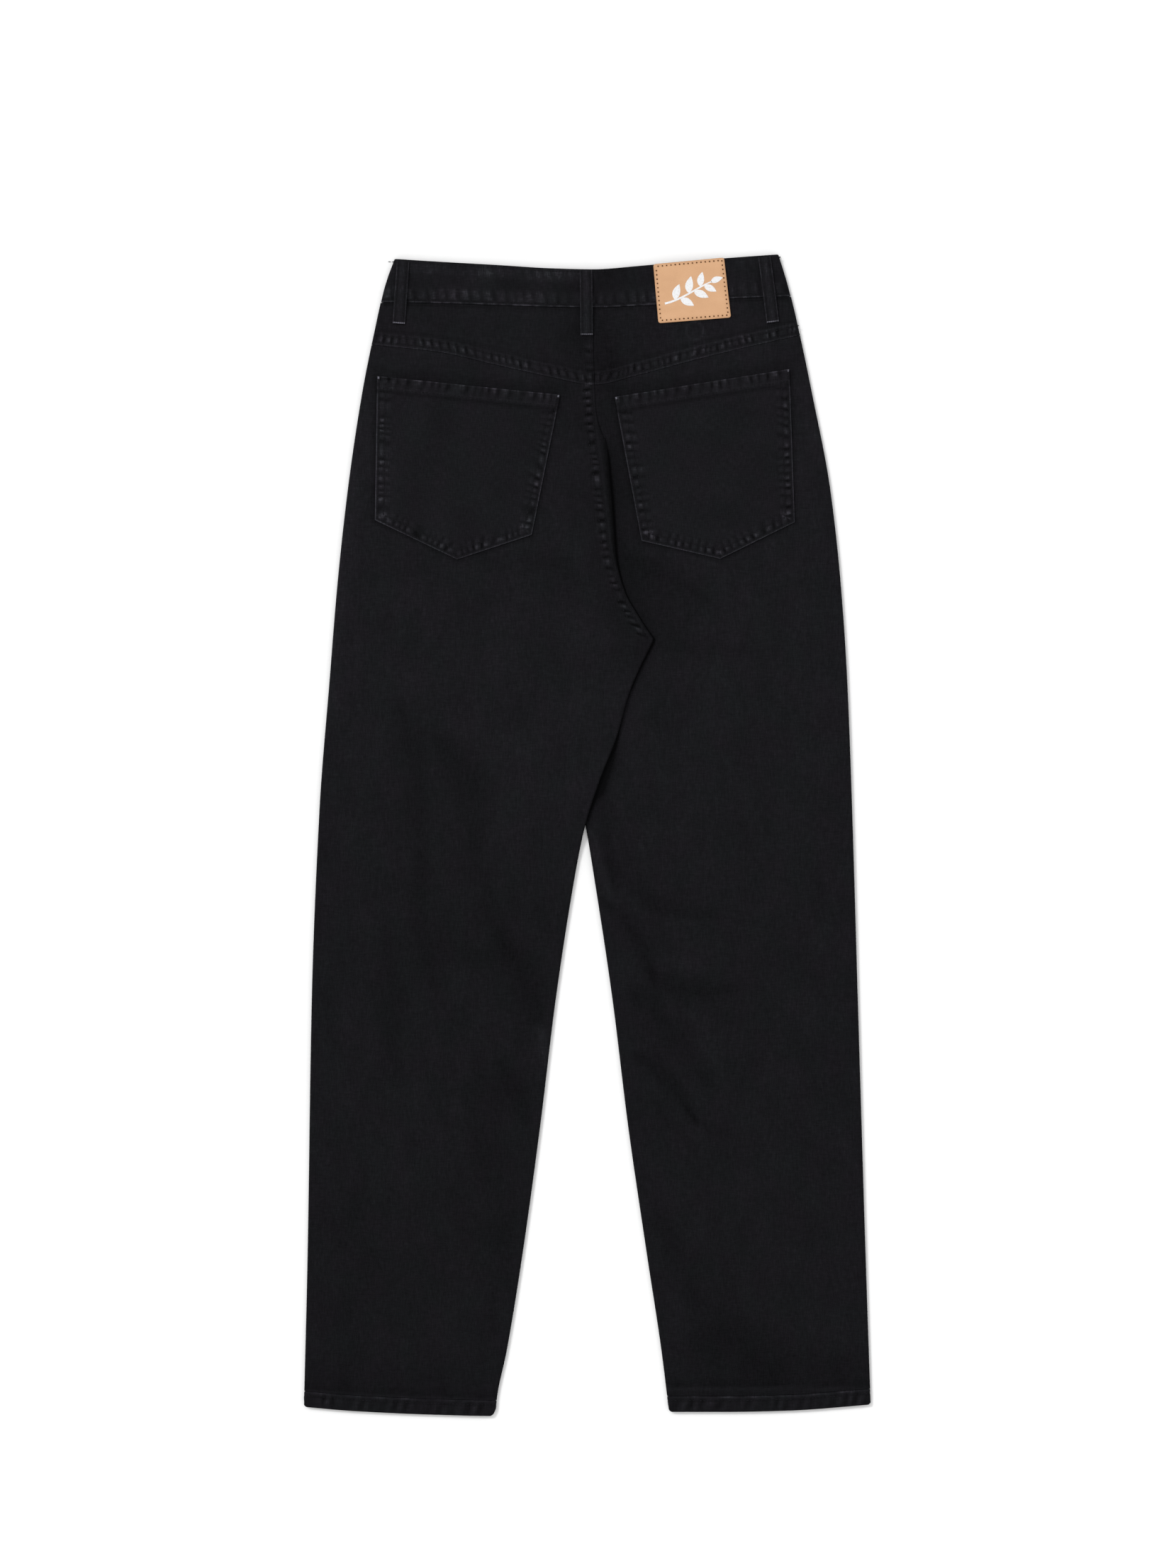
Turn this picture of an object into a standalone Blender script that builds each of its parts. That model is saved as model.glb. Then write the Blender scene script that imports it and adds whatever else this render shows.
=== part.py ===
"""Mom jeans laid flat on their front, with the back facing up.

+X runs across the waist, +Y from the hems up to the waist, and +Z up from the surface they lie on.
The wearer's left leg lies on the -X side, and its inner edge laps over the other leg at the crotch.
Every piece is a wall of cloth round a grid of middle points. The sizes and tables are in millimetres.
"""

import math

import bpy
import numpy as np

MM = 0.001

# From the photo's middle, where the tables start, to the middle of the finished outline
ORIGIN_SHIFT = (0.3, 0.2, 0.0)

# Cloth and seams
CLOTH = 1.1
SEAM_GAP = 0.3
LAID_GAP = 0.45
FELL_RAISE = 0.5
FELL_WIDTH = 11.0
FELL_STEP = 0.8

# How the flattened legs lie
FLOOR_LAYER = CLOTH / 2
OUTER_RETURN = 9.0
INNER_RETURN = 8.0
PUFF_REACH = 9.0
LAP_RAMP = 7.0
SINK_RAMP = 26.0
TUCKED_LAYER = 2.2
HIDDEN_FOLD_TOP = 2.05
CROTCH_Y = 167.0
PLEAT_Y = 341.0
TURN_STEPS = 3

# Waistband
BAND_CLOTH = 1.7
BAND_FLOOR = BAND_CLOTH / 2
BAND_LAP_LAYER = 2.9
BAND_MIDDLE = 5.0
BAND_SIDE = 4.3
FRONT_DROP = 8.0
FRONT_LAP = 19.0
LAP_END_START = 34.0
LAP_END_RAMP = 12.0

# Hems
HEM_CLOTH = 1.9
HEM_HEIGHT = 13.5
HEM_TOP = 3.7

# Pieces sewn on
LOOP_WIDTH = 10.7
LOOP_CLOTH = 1.5
LOOP_RISE = 1.2
POCKET_CLOTH = 1.1
POCKET_HEM = 13.5
PATCH_CLOTH = 1.5
BUTTON_RADIUS = 8.5
BUTTON_THICKNESS = 0.7
BUTTON_RIM = 1.1
BUTTON_RECESS = 1.0

DENIM = (0.0105, 0.0100, 0.0115)
LEATHER = (0.66, 0.38, 0.20)
METAL = (0.42, 0.40, 0.37)


def table(columns, *rows):
    """A dict with one array for each named column."""
    return {name: np.array(values, float) for name, values in zip(columns.split(), zip(*rows))}


# The outer edges, where the cloth turns over to the underside
SIDES = table(
    "y left right",
    (500, -164.5, 164.0),
    (472, -174.5, 172.6),
    (435, -183.0, 181.5),
    (380, -194.0, 193.0),
    (298, -206.2, 208.6),
    (215, -215.3, 217.8),
    (133, -222.0, 223.3),
    (23, -230.6, 227.5),
    (-141, -237.3, 232.4),
    (-361, -240.9, 239.1),
    (-500, -244.3, 243.8),
)

# The waistband's two edges and the lower edge of the yoke, from side to side
WAIST = table(
    "x top seam yoke",
    (-183, 496.5, 458.1, 421.5),
    (-128, 493.0, 457.2, 415.4),
    (-79, 490.2, 455.6, 404.5),
    (-30, 487.2, 454.0, 393.6),
    (5, 486.4, 453.5, 387.3),
    (43, 489.2, 455.0, 395.6),
    (92, 493.8, 458.6, 408.7),
    (129, 496.8, 461.4, 417.8),
    (183, 500.6, 463.4, 430.0),
)

# The inner edge of the left half: the seat seam, the fold beside it, then the leg's own edge
LEFT_INNER = table(
    "y x",
    (460, 6.8),
    (390, 8.0),
    (365, 9.4),
    (353, 12.0),
    (343, 17.0),
    (304, 20.1),
    (267, 23.8),
    (231, 27.0),
    (203, 36.0),
    (179, 50.6),
    (167, 56.0),
    (145, 44.5),
    (121, 34.6),
    (84, 24.0),
    (48, 9.8),
    (7, -3.0),
    (-32, -10.4),
    (-141, -27.4),
    (-251, -40.9),
    (-361, -56.1),
    (-443, -69.5),
    (-500, -80.4),
)

# The inner edge of the right leg, hidden under the left one above y = 7
RIGHT_INNER = table(
    "y x",
    (167, 0.0),
    (139, -0.8),
    (109, -4.3),
    (78, -7.6),
    (48, -7.6),
    (23, -4.9),
    (7, -1.6),
    (-32, 4.9),
    (-141, 21.3),
    (-251, 34.9),
    (-361, 51.0),
    (-443, 63.4),
    (-500, 70.4),
)

# The right edge of the seat seam's band, and where the right half starts, tucked under the left
SEAT = table(
    "y seam tuck",
    (460, 4.2, 4.8),
    (390, 5.4, 6.0),
    (353, 7.9, 8.5),
    (340, 9.2, 12.0),
    (328, 11.0, 9.5),
    (304, 14.0, 6.4),
    (279, 17.1, 5.3),
    (249, 20.7, 4.8),
    (218, 28.0, 4.0),
    (191, 40.3, 3.0),
    (169, 54.0, 2.0),
)

# The height of the top layer at the middle of a leg and at its outer folds
LOFT = table(
    "y middle edge",
    (460, 4.5, 3.8),
    (430, 4.3, 3.9),
    (380, 4.0, 4.0),
    (300, 4.1, 4.1),
    (170, 4.0, 4.2),
    (0, 3.8, 4.3),
    (-250, 3.6, 4.1),
    (-440, 3.5, 3.9),
    (-500, 3.5, 3.7),
)

# How the left half is raised where it laps over the right one: from which x, by how much,
# and how high the layer lies that turns under its inner edge
LAP = table(
    "y start lift low",
    (390, -6.0, 0.0, 0.55),
    (368, -6.0, 0.3, 0.9),
    (356, -6.0, 1.0, 2.2),
    (343, -6.0, 2.0, 3.6),
    (292, -6.0, 2.0, 3.6),
    (182, -10.4, 2.2, 3.6),
    (160, -13.0, 2.8, 3.8),
    (109, -14.4, 2.8, 3.8),
    (48, -17.9, 2.8, 3.8),
    (17, -19.6, 2.8, 3.8),
    (5, -21.0, 2.6, 3.8),
    (-12, -26.0, 0.6, 1.2),
    (-22, -30.0, 0.0, 0.55),
    (-500, -104.0, 0.0, 0.55),
)

# How far the right half sinks beside and under the left one, as a share of its height
SINK = table(
    "y share",
    (390, 0.0),
    (368, 0.35),
    (350, 0.95),
    (343, 1.0),
    (12, 1.0),
    (0, 0.6),
    (-14, 0.15),
    (-30, 0.0),
    (-500, 0.0),
)

# The largest folds of each half: start, bend and end of its line, its half width and its height
LEFT_FOLDS = table(
    "x1 y1 x2 y2 x3 y3 width height",
    (-103, 450, -54, 427, -18, 408, 13, -0.5),
    (-79, -87, -58, -123, -48, -154, 11, -0.9),
    (-94, -95, -74, -134, -62, -172, 12, 0.7),
    (-71, -196, -53, -239, -49, -288, 12, -0.8),
    (-88, -205, -72, -246, -67, -300, 12, 0.5),
    (-146, 109, -147, 17, -145, -74, 20, -0.8),
    (-115, 78, -103, -1, -85, -74, 18, -0.7),
    (-173, -87, -171, -135, -173, -184, 18, -0.7),
    (-40, 217, -70, 205, -100, 200, 22, -0.8),
    (-120, -340, -150, -400, -190, -450, 22, -0.8),
    (-95, -395, -115, -430, -150, -455, 18, 0.6),
    (-40, 110, -62, 60, -70, 0, 24, 0.6),
)
RIGHT_FOLDS = table(
    "x1 y1 x2 y2 x3 y3 width height",
    (12, 22, 28, -30, 104, -68, 10, -1.1),
    (14, 6, 46, -30, 110, -44, 10, 0.9),
    (14, -58, 50, -105, 129, -127, 9, -1.0),
    (28, -50, 68, -88, 128, -98, 10, 0.9),
    (59, -154, 77, -175, 95, -203, 8, -0.7),
    (34, -106, 64, -136, 104, -160, 10, 0.8),
    (31, -175, 72, -221, 110, -251, 9, -0.9),
    (42, -160, 86, -206, 124, -238, 9, 0.6),
    (53, -233, 74, -251, 94, -274, 8, -0.5),
    (43, -318, 56, -350, 68, -380, 14, -0.4),
    (104, -440, 125, -458, 150, -468, 16, -0.6),
    (150, 120, 158, 20, 150, -60, 26, 0.5),
)

# The lower edges of the two hems
HEM_ENDS = table(
    "x bottom",
    (-246, -491.5),
    (-201, -495.3),
    (-133, -498.4),
    (-78, -499.6),
    (70, -496.0),
    (120, -496.0),
    (171, -495.0),
    (245, -489.6),
)

# The back pockets and the patch: corners clockwise from the one at the top left
LEFT_POCKET = table("x y", (-180, 394.5), (-23.4, 378.4), (-47.6, 258.6), (-112, 238), (-182, 271.4))
RIGHT_POCKET = table("x y", (23.8, 376.6), (172.6, 400.6), (177, 269.6), (114, 238.5), (47, 253.8))
PATCH = table("x y", (56.3, 490.6), (117.2, 496.4), (123.2, 444.9), (60.8, 439.9))

LOOPS = {
    "loop_back_center": dict(top=(-1.5, 485.6), low=(-0.8, 429.6), seat=FELL_RAISE),
    "loop_back_left": dict(top=(-158.6, 493.4), low=(-162.3, 439.4), seat=0.0),
    "loop_back_right": dict(top=(151.9, 497.0), low=(159.2, 440.6), seat=0.0),
}

# The rows of points down a leg, from the yoke to the hem; the end rows tilt with those edges
LEG_ROWS = np.array(
    (404, 386, 368, 356, 349, 340, 324, 304, 284, 262, 240, 218, 200, 183, 166)
    + (151, 133, 109, 84, 60, 38, 18, 4, -8, -20, -38, -56, -74, -92, -110, -128)
    + (-146, -166, -188, -210, -234, -260, -290, -322, -358, -394, -430, -460, -484),
    float,
)
ROWS_TILT_ABOVE = 349.0
ROWS_TILT_BELOW = -394.0
FRONT_ROWS = np.concatenate([[455.0, 430.0], LEG_ROWS[LEG_ROWS < 410]])
YOKE_ROWS = table(
    "share above", (1, 0), (0.75, 0), (0.5, 0), (0, FELL_WIDTH + FELL_STEP), (0, FELL_WIDTH), (0, 0)
)

TOP_SHARES = (0.05, 0.13, 0.22, 0.31, 0.40, 0.49, 0.58, 0.67, 0.76, 0.85, 0.93)
YOKE_SHARES = (0.06, 0.18, 0.32, 0.46, 0.60, 0.74, 0.88)
FRONT_SHARES = (0, 0.12, 0.26, 0.42, 0.58, 0.74, 0.88, 1)


def smooth(xs, ys, x):
    """A smooth curve through the points, with no overshoot, read at x."""
    order = np.argsort(xs)
    xs, ys = xs[order], ys[order]
    slopes = np.diff(ys) / np.diff(xs)
    tangents = np.empty(len(xs))
    product, total = slopes[1:] * slopes[:-1], slopes[1:] + slopes[:-1]
    tangents[1:-1] = np.where(product > 0, 2 * product / np.where(product > 0, total, 1), 0)
    tangents[0], tangents[-1] = slopes[0], slopes[-1]
    x = np.clip(x, xs[0], xs[-1])
    i = np.clip(np.searchsorted(xs, x, side="right") - 1, 0, len(xs) - 2)
    step, rise = xs[i + 1] - xs[i], ys[i + 1] - ys[i]
    t = (x - xs[i]) / step
    bend = (tangents[i] * step - rise) * (1 - t) + (rise - tangents[i + 1] * step) * t
    return ys[i] + t * rise + t * (1 - t) * bend


def read(tab, column, at, key="y"):
    return smooth(tab[key], tab[column], np.asarray(at, float))


def ease(t):
    """From 0 to 1, with soft ends."""
    t = np.clip(t, 0, 1)
    return t * t * (3 - 2 * t)


def folds(tab, x, y):
    """The sum of all soft folds at these points."""
    t = np.linspace(0, 1, 17)
    a, b, c = (1 - t) ** 2, 2 * t * (1 - t), t * t
    fade = 1 + 1.6 * np.abs(2 * t - 1) ** 3
    total = np.zeros(np.shape(x))
    for x1, y1, x2, y2, x3, y3, width, height in zip(*tab.values()):
        px, py = a * x1 + b * x2 + c * x3, a * y1 + b * y2 + c * y3
        far = np.hypot(np.subtract.outer(x, px), np.subtract.outer(y, py)) * fade
        total = total + height * np.exp(-((far.min(axis=-1) / width) ** 2))
    return total


def reader(tab, column):
    return lambda y: read(tab, column, y)


left_outer, right_outer = reader(SIDES, "left"), reader(SIDES, "right")
left_inner, right_inner = reader(LEFT_INNER, "x"), reader(RIGHT_INNER, "x")
middle_height, edge_height = reader(LOFT, "middle"), reader(LOFT, "edge")
low_height = reader(LAP, "low")


def floor_height(y):
    return np.full(np.shape(y), FLOOR_LAYER)


def lap_share(x, y):
    """From 0 to 1 across the ramp where the left half climbs on to the right one."""
    return ease((x - read(LAP, "start", y)) / LAP_RAMP)


def left_inner_height(y):
    """The top of the left half's inner fold. It puffs up where the leg's edge lies free."""
    free = ease((60 - y) / 80)
    return middle_height(y) + read(LAP, "lift", y) + free * (edge_height(y) - middle_height(y))


def right_inner_height(y):
    """The top of the right leg's inner fold, pressed flat where it is hidden."""
    return HIDDEN_FOLD_TOP + (edge_height(y) - HIDDEN_FOLD_TOP) * ease((14 - y) / 40)


def left_top(x, y):
    """The height of the left half's top layer."""
    from_outer, from_inner = np.maximum(x - left_outer(y), 0), np.maximum(left_inner(y) - x, 0)
    free = ease((60 - y) / 80)
    puff = np.exp(-from_outer / PUFF_REACH) + free * np.exp(-from_inner / PUFF_REACH)
    calm = ease(from_outer / 14) * ease(from_inner / 14)
    base = middle_height(y) + (edge_height(y) - middle_height(y)) * puff
    return base + read(LAP, "lift", y) * lap_share(x, y) + calm * folds(LEFT_FOLDS, x, y)


def right_top(x, y):
    """The height of the right half's top layer, which sinks beside and under the left half."""
    from_outer, from_inner = np.maximum(right_outer(y) - x, 0), np.maximum(x - right_inner(y), 0)
    free = ease((0 - y) / 40)
    puff = np.exp(-from_outer / PUFF_REACH) + free * np.exp(-from_inner / PUFF_REACH)
    calm = ease(from_outer / 14) * (1 - free * (1 - ease(from_inner / 14)))
    base = middle_height(y) + (edge_height(y) - middle_height(y)) * puff
    height = base + calm * folds(RIGHT_FOLDS, x, y)
    sunk = read(SINK, "share", y) * (1 - ease((x - left_inner(y) - 1) / SINK_RAMP))
    near_fold = ease((200 - y) / 40) * ease((20 - from_inner) / 20)
    floor = TUCKED_LAYER + (HIDDEN_FOLD_TOP - TUCKED_LAYER) * near_fold
    return height * (1 - sunk) + floor * sunk


def turn(edge, top, low, side, inset, cloth=CLOTH):
    """Columns of an edge that turns under, from the end on the underside to the top layer.

    side is -1 for an edge on the left and 1 for one on the right. inset is how far the end lies in.
    """

    def radius(y):
        return (top(y) - low(y)) / 2

    def bend(y):
        return edge(y) - side * (cloth / 2 + radius(y))

    def on_arc(angle):
        return (
            lambda y: bend(y) + side * radius(y) * math.sin(angle),
            lambda x, y: low(y) + radius(y) * (1 - math.cos(angle)),
        )

    arcs = [on_arc(math.pi * k / (TURN_STEPS + 1)) for k in range(TURN_STEPS + 2)]
    return [(lambda y: edge(y) - side * inset, lambda x, y: low(y))] * (inset > 0) + arcs


def end_of(columns):
    """The x of the last column of a turn: where its top layer starts."""
    return columns[-1][0]


def between(start, end, shares, height):
    """Columns of the top layer at these shares of the way from start to end."""
    return [(lambda y, s=s: start(y) + s * (end(y) - start(y)), height) for s in shares]


def sweep(row_y, rows, columns):
    """The points where each row, a y for each x, meets each column, an x for each y."""
    points = np.zeros((len(rows), len(columns), 3))
    for j, (column_x, height) in enumerate(columns):
        y = row_y(np.zeros(len(rows)), rows)
        for _ in range(5):
            x = column_x(y)
            y = row_y(x, rows)
        points[:, j] = np.stack([x, y, height(x, y)], axis=1)
    return points


def normals_of(points, closed):
    """Unit normals out of the cloth, which lie in the plane of its end rows. closed is as in wall."""
    wide = np.concatenate([points[:, -1:], points, points[:, :1]], axis=1) if closed else points
    normals = np.cross(np.gradient(wide, axis=0), np.gradient(wide, axis=1))
    normals = normals[:, 1:-1] if closed else normals
    normals[[0, -1], :, 1] = 0
    return normals / np.linalg.norm(normals, axis=2, keepdims=True)


def wall(name, points, finish, keep=None, cloth=CLOTH, raised=0.0, closed=False):
    """One closed wall of cloth round a grid of middle points.

    keep says which cells of the grid are cloth, and raised lifts the outer face.
    """
    rows, columns = points.shape[:2]
    normals = normals_of(points, closed)
    lift = np.broadcast_to(raised, (rows, columns))[..., None]
    outer, inner = points + normals * (cloth / 2 + lift), points - normals * cloth / 2
    index = np.arange(rows * columns).reshape(rows, columns)
    across = columns if closed else columns - 1
    cells = [
        (index[i, j], index[i + 1, j], index[i + 1, (j + 1) % columns], index[i, (j + 1) % columns])
        for i in range(rows - 1)
        for j in range(across)
        if keep is None or keep[i, j]
    ]
    edges = {(a, b) for cell in cells for a, b in zip(cell, cell[1:] + cell[:1])}
    rim = sorted((a, b) for a, b in edges if (b, a) not in edges)
    count = rows * columns
    faces = cells + [tuple(i + count for i in cell[::-1]) for cell in cells]
    faces += [(b, a, a + count, b + count) for a, b in rim]
    return solid(name, np.concatenate([outer.reshape(-1, 3), inner.reshape(-1, 3)]), faces, finish)


def solid(name, points, faces, finish):
    """An object from points in millimetres, without those that no face uses."""
    points = np.asarray(points) + ORIGIN_SHIFT
    used = sorted({i for face in faces for i in face})
    place = {old: new for new, old in enumerate(used)}
    mesh = bpy.data.meshes.new(name)
    mesh.from_pydata(
        [tuple(float(c) * MM for c in points[i]) for i in used],
        [],
        [[place[i] for i in face] for face in faces],
    )
    mesh.update()
    mesh.shade_smooth()
    mesh.set_sharp_from_angle(angle=math.radians(50))
    mesh.materials.append(finish)
    made = bpy.data.objects.new(name, mesh)
    bpy.context.scene.collection.objects.link(made)
    return made


def material(name, colour, roughness, metallic=0.0):
    made = bpy.data.materials.new(name)
    made.use_nodes = True
    shader = made.node_tree.nodes["Principled BSDF"]
    shader.inputs["Base Color"].default_value = (*colour, 1)
    shader.inputs["Roughness"].default_value = roughness
    shader.inputs["Metallic"].default_value = metallic
    return made


def tilt_down(x, rows):
    """How far the last rows of a leg move, to run along its hem."""
    share = np.clip((ROWS_TILT_BELOW - rows) / (ROWS_TILT_BELOW - LEG_ROWS[-1]), 0, 1)
    return share * (read(HEM_ENDS, "bottom", x, "x") + HEM_HEIGHT + SEAM_GAP - LEG_ROWS[-1])


def leg_row(x, rows):
    """The y of a leg's rows, which start along the yoke and end along the hem."""
    share = np.clip((rows - ROWS_TILT_ABOVE) / (LEG_ROWS[0] - ROWS_TILT_ABOVE), 0, 1)
    up = share * (read(WAIST, "yoke", x, "x") - SEAM_GAP - LEG_ROWS[0])
    return rows + up + tilt_down(x, rows)


def front_drop(x):
    """How far the front of the waist lies below its back."""
    return FRONT_DROP * np.clip(1 - (x / 160) ** 2, 0, 1)


def front_row(x, rows):
    """The y of a front panel's rows, which start along the front of the waistband."""
    share = np.clip((rows - LEG_ROWS[0]) / (FRONT_ROWS[0] - LEG_ROWS[0]), 0, 1)
    up = share * (read(WAIST, "seam", x, "x") - front_drop(x) - SEAM_GAP - FRONT_ROWS[0])
    return rows + up + tilt_down(x, rows)


def yoke_row(x, rows):
    """The y of a yoke's rows: a share of its depth, or so far above its lower edge."""
    share, above = rows[:, 0], rows[:, 1]
    low, top = read(WAIST, "yoke", x, "x"), read(WAIST, "seam", x, "x") - SEAM_GAP
    return low + share * (top - low) + above


def left_turns():
    """The outer and the inner turn of the left half."""
    outer = turn(left_outer, edge_height, floor_height, -1, OUTER_RETURN)
    return outer, turn(left_inner, left_inner_height, low_height, 1, INNER_RETURN)


def seat_column(offset, room):
    """A column beside the seat seam's right edge, which stays this far from the inner turn."""
    inner_end = end_of(left_turns()[1])
    return (lambda y: np.minimum(read(SEAT, "seam", y) + offset, inner_end(y) - room), left_top)


def seat_columns():
    """The columns at both edges of the seat seam's raised band."""
    return [
        seat_column(-FELL_WIDTH - FELL_STEP, 4.0),
        seat_column(-FELL_WIDTH, 3.2),
        seat_column(-FELL_STEP, 1.2),
        seat_column(0, 0.4),
    ]


def back_leg_left(denim):
    outer, inner = left_turns()
    band = seat_columns()
    tops = between(end_of(outer), band[0][0], TOP_SHARES, left_top)
    columns = outer + tops + band + inner[::-1]
    points = sweep(leg_row, LEG_ROWS, columns)
    keep = np.ones((len(LEG_ROWS) - 1, len(columns) - 1), bool)
    keep[LEG_ROWS[:-1] > PLEAT_Y, len(columns) - len(inner) :] = False
    raised = np.zeros(points.shape[:2])
    first = len(outer) + len(tops)
    raised[LEG_ROWS > CROTCH_Y + 10, first + 1 : first + 3] = FELL_RAISE
    return wall("back_leg_left", points, denim, keep, raised=raised)


def back_leg_right(denim):
    outer = turn(right_outer, edge_height, floor_height, 1, OUTER_RETURN)
    inner = turn(right_inner, right_inner_height, floor_height, -1, INNER_RETURN)
    left_end, fold_bend = end_of(left_turns()[1]), end_of(inner)

    def start(y):
        tucked = np.where(y > PLEAT_Y + 4, left_end(y) + SEAM_GAP, read(SEAT, "tuck", y))
        return np.where(y > CROTCH_Y, tucked, fold_bend(y))

    inner[-1] = (start, lambda x, y: np.where(y > CROTCH_Y, right_top(x, y), right_inner_height(y)))
    columns = inner + between(start, end_of(outer), TOP_SHARES, right_top) + outer[::-1]
    points = sweep(leg_row, LEG_ROWS, columns)
    keep = np.ones((len(LEG_ROWS) - 1, len(columns) - 1), bool)
    keep[LEG_ROWS[:-1] > CROTCH_Y, : len(inner) - 1] = False
    return wall("back_leg_right", points, denim, keep)


def yokes(denim):
    rows = np.stack([YOKE_ROWS["share"], YOKE_ROWS["above"]], axis=1)
    outer, inner = left_turns()
    seam = end_of(inner)
    tops = between(end_of(outer), lambda y: seam(y) - FELL_WIDTH - FELL_STEP, YOKE_SHARES, left_top)
    band = [(lambda y, d=d: seam(y) - d, left_top) for d in (FELL_WIDTH + FELL_STEP, FELL_WIDTH, 0)]
    points = sweep(yoke_row, rows, outer + tops + band)
    raised = np.zeros(points.shape[:2])
    raised[-2:, len(outer) :] = FELL_RAISE
    raised[:, -2:] = FELL_RAISE
    wall("back_yoke_left", points, denim, raised=raised)

    outer = turn(right_outer, edge_height, floor_height, 1, OUTER_RETURN)
    tops = between(lambda y: seam(y) + SEAM_GAP, end_of(outer), (0,) + YOKE_SHARES, right_top)
    points = sweep(yoke_row, rows, tops + outer[::-1])
    raised = np.zeros(points.shape[:2])
    raised[-2:, : len(tops)] = FELL_RAISE
    wall("back_yoke_right", points, denim, raised=raised)


def ramp_height(x, y):
    """The left front lies on the floor, then climbs over the right leg."""
    return FLOOR_LAYER + (low_height(y) - FLOOR_LAYER) * lap_share(x, y)


def front_leg_left(denim):
    def start(y):
        return left_outer(y) + OUTER_RETURN + SEAM_GAP

    def flat_end(y):
        return np.where(y > CROTCH_Y, -SEAM_GAP / 2, read(LAP, "start", y))

    def ramp_end(y):
        return read(LAP, "start", y) + LAP_RAMP

    def end(y):
        return left_inner(y) - INNER_RETURN - SEAM_GAP

    flat = between(start, flat_end, FRONT_SHARES, lambda x, y: floor_height(y))
    ramp = between(flat_end, ramp_end, (0.35, 0.65, 1), ramp_height)
    lap = between(ramp_end, end, (0.5, 1), ramp_height)
    points = sweep(front_row, FRONT_ROWS, flat + ramp + lap)
    keep = np.ones((len(FRONT_ROWS) - 1, len(flat + ramp + lap) - 1), bool)
    keep[FRONT_ROWS[:-1] > CROTCH_Y, len(flat) - 1 :] = False
    return wall("front_leg_left", points, denim, keep)


def front_leg_right(denim):
    def start(y):
        return np.where(y > CROTCH_Y, SEAM_GAP / 2, right_inner(y) + INNER_RETURN + SEAM_GAP)

    def end(y):
        return right_outer(y) - OUTER_RETURN - SEAM_GAP

    columns = between(start, end, FRONT_SHARES, lambda x, y: floor_height(y))
    return wall("front_leg_right", sweep(front_row, FRONT_ROWS, columns), denim)


def steady(value):
    """A function of y that is the same everywhere."""
    return lambda y: np.full(np.shape(y), float(value))


def level(value):
    """A function of x and y that is the same everywhere."""
    return lambda x, y: np.full(np.shape(x), float(value))


def hem_row(x, rows):
    return read(HEM_ENDS, "bottom", x, "x") + rows


def hem(name, left, right, denim):
    """A hem: a flattened ring of folded cloth round the end of a leg."""
    low, top = HEM_CLOTH / 2, HEM_TOP
    left_turn = turn(left, steady(top), steady(low), -1, 0, HEM_CLOTH)
    right_turn = turn(right, steady(top), steady(low), 1, 0, HEM_CLOTH)
    tops = between(end_of(left_turn), end_of(right_turn), np.arange(1, 9) / 9, level(top))
    unders = between(right_turn[0][0], left_turn[0][0], np.arange(1, 6) / 6, level(low))
    rows = np.array([HEM_HEIGHT, HEM_HEIGHT / 2, 0.0])
    points = sweep(hem_row, rows, left_turn + tops + right_turn[::-1] + unders)
    return wall(name, points, denim, cloth=HEM_CLOTH, closed=True)


def band_height(x, y=None):
    """The height of the waistband's back, highest over the lapped ends of its front."""
    return BAND_SIDE + (BAND_MIDDLE - BAND_SIDE) * ease((110 - np.abs(x)) / 60)


def band_row(x, rows):
    low, top = read(WAIST, "seam", x, "x"), read(WAIST, "top", x, "x")
    return low + rows * (top - low)


def lap_end_height(x, y):
    """The right end of the waistband rises from the floor, to lie on the left end."""
    return BAND_FLOOR + (BAND_LAP_LAYER - BAND_FLOOR) * ease((LAP_END_START - x) / LAP_END_RAMP)


def waistband(denim):
    """The waistband: a strip round the waist, whose left end laps under the right end at the front."""
    left_turn = turn(left_outer, steady(BAND_SIDE), steady(BAND_FLOOR), -1, 0, BAND_CLOTH)
    right_turn = turn(right_outer, steady(BAND_SIDE), steady(BAND_FLOOR), 1, 0, BAND_CLOTH)
    floor = level(BAND_FLOOR)
    left_run = between(steady(FRONT_LAP), left_turn[0][0], np.arange(10) / 10, floor)
    tops = between(end_of(left_turn), end_of(right_turn), np.arange(1, 14) / 14, band_height)
    ramp_start, ramp_end = steady(LAP_END_START), steady(LAP_END_START - LAP_END_RAMP)
    right_run = between(right_turn[0][0], ramp_start, np.arange(1, 8) / 7, floor)
    ramp = between(ramp_start, ramp_end, (0.33, 0.67, 1), lap_end_height)
    upper_end = between(ramp_end, steady(-FRONT_LAP), (0.5, 1), lap_end_height)
    columns = left_run + left_turn + tops + right_turn[::-1] + right_run + ramp + upper_end
    points = sweep(band_row, np.array([1, 0.67, 0.33, 0]), columns)
    first_top = len(left_run + left_turn)
    front = np.ones(points.shape[1], bool)
    front[first_top : first_top + len(tops)] = False
    points[:, front, 1] -= front_drop(points[:, front, 0])
    made = wall("waistband", points, denim, cloth=BAND_CLOTH)
    recess = disc("button_recess", BUTTON_RADIUS + SEAM_GAP, -1.0, BUTTON_RECESS, denim)
    recess.hide_render = True
    recess.display_type = "WIRE"
    cut = made.modifiers.new("button recess", "BOOLEAN")
    cut.object = recess
    return made


def button_place():
    """The middle of the front waistband, where the button sits."""
    low, top = (float(read(WAIST, edge, 0.0, "x")) for edge in ("seam", "top"))
    return 0.0, (low + top) / 2 - FRONT_DROP


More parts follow.
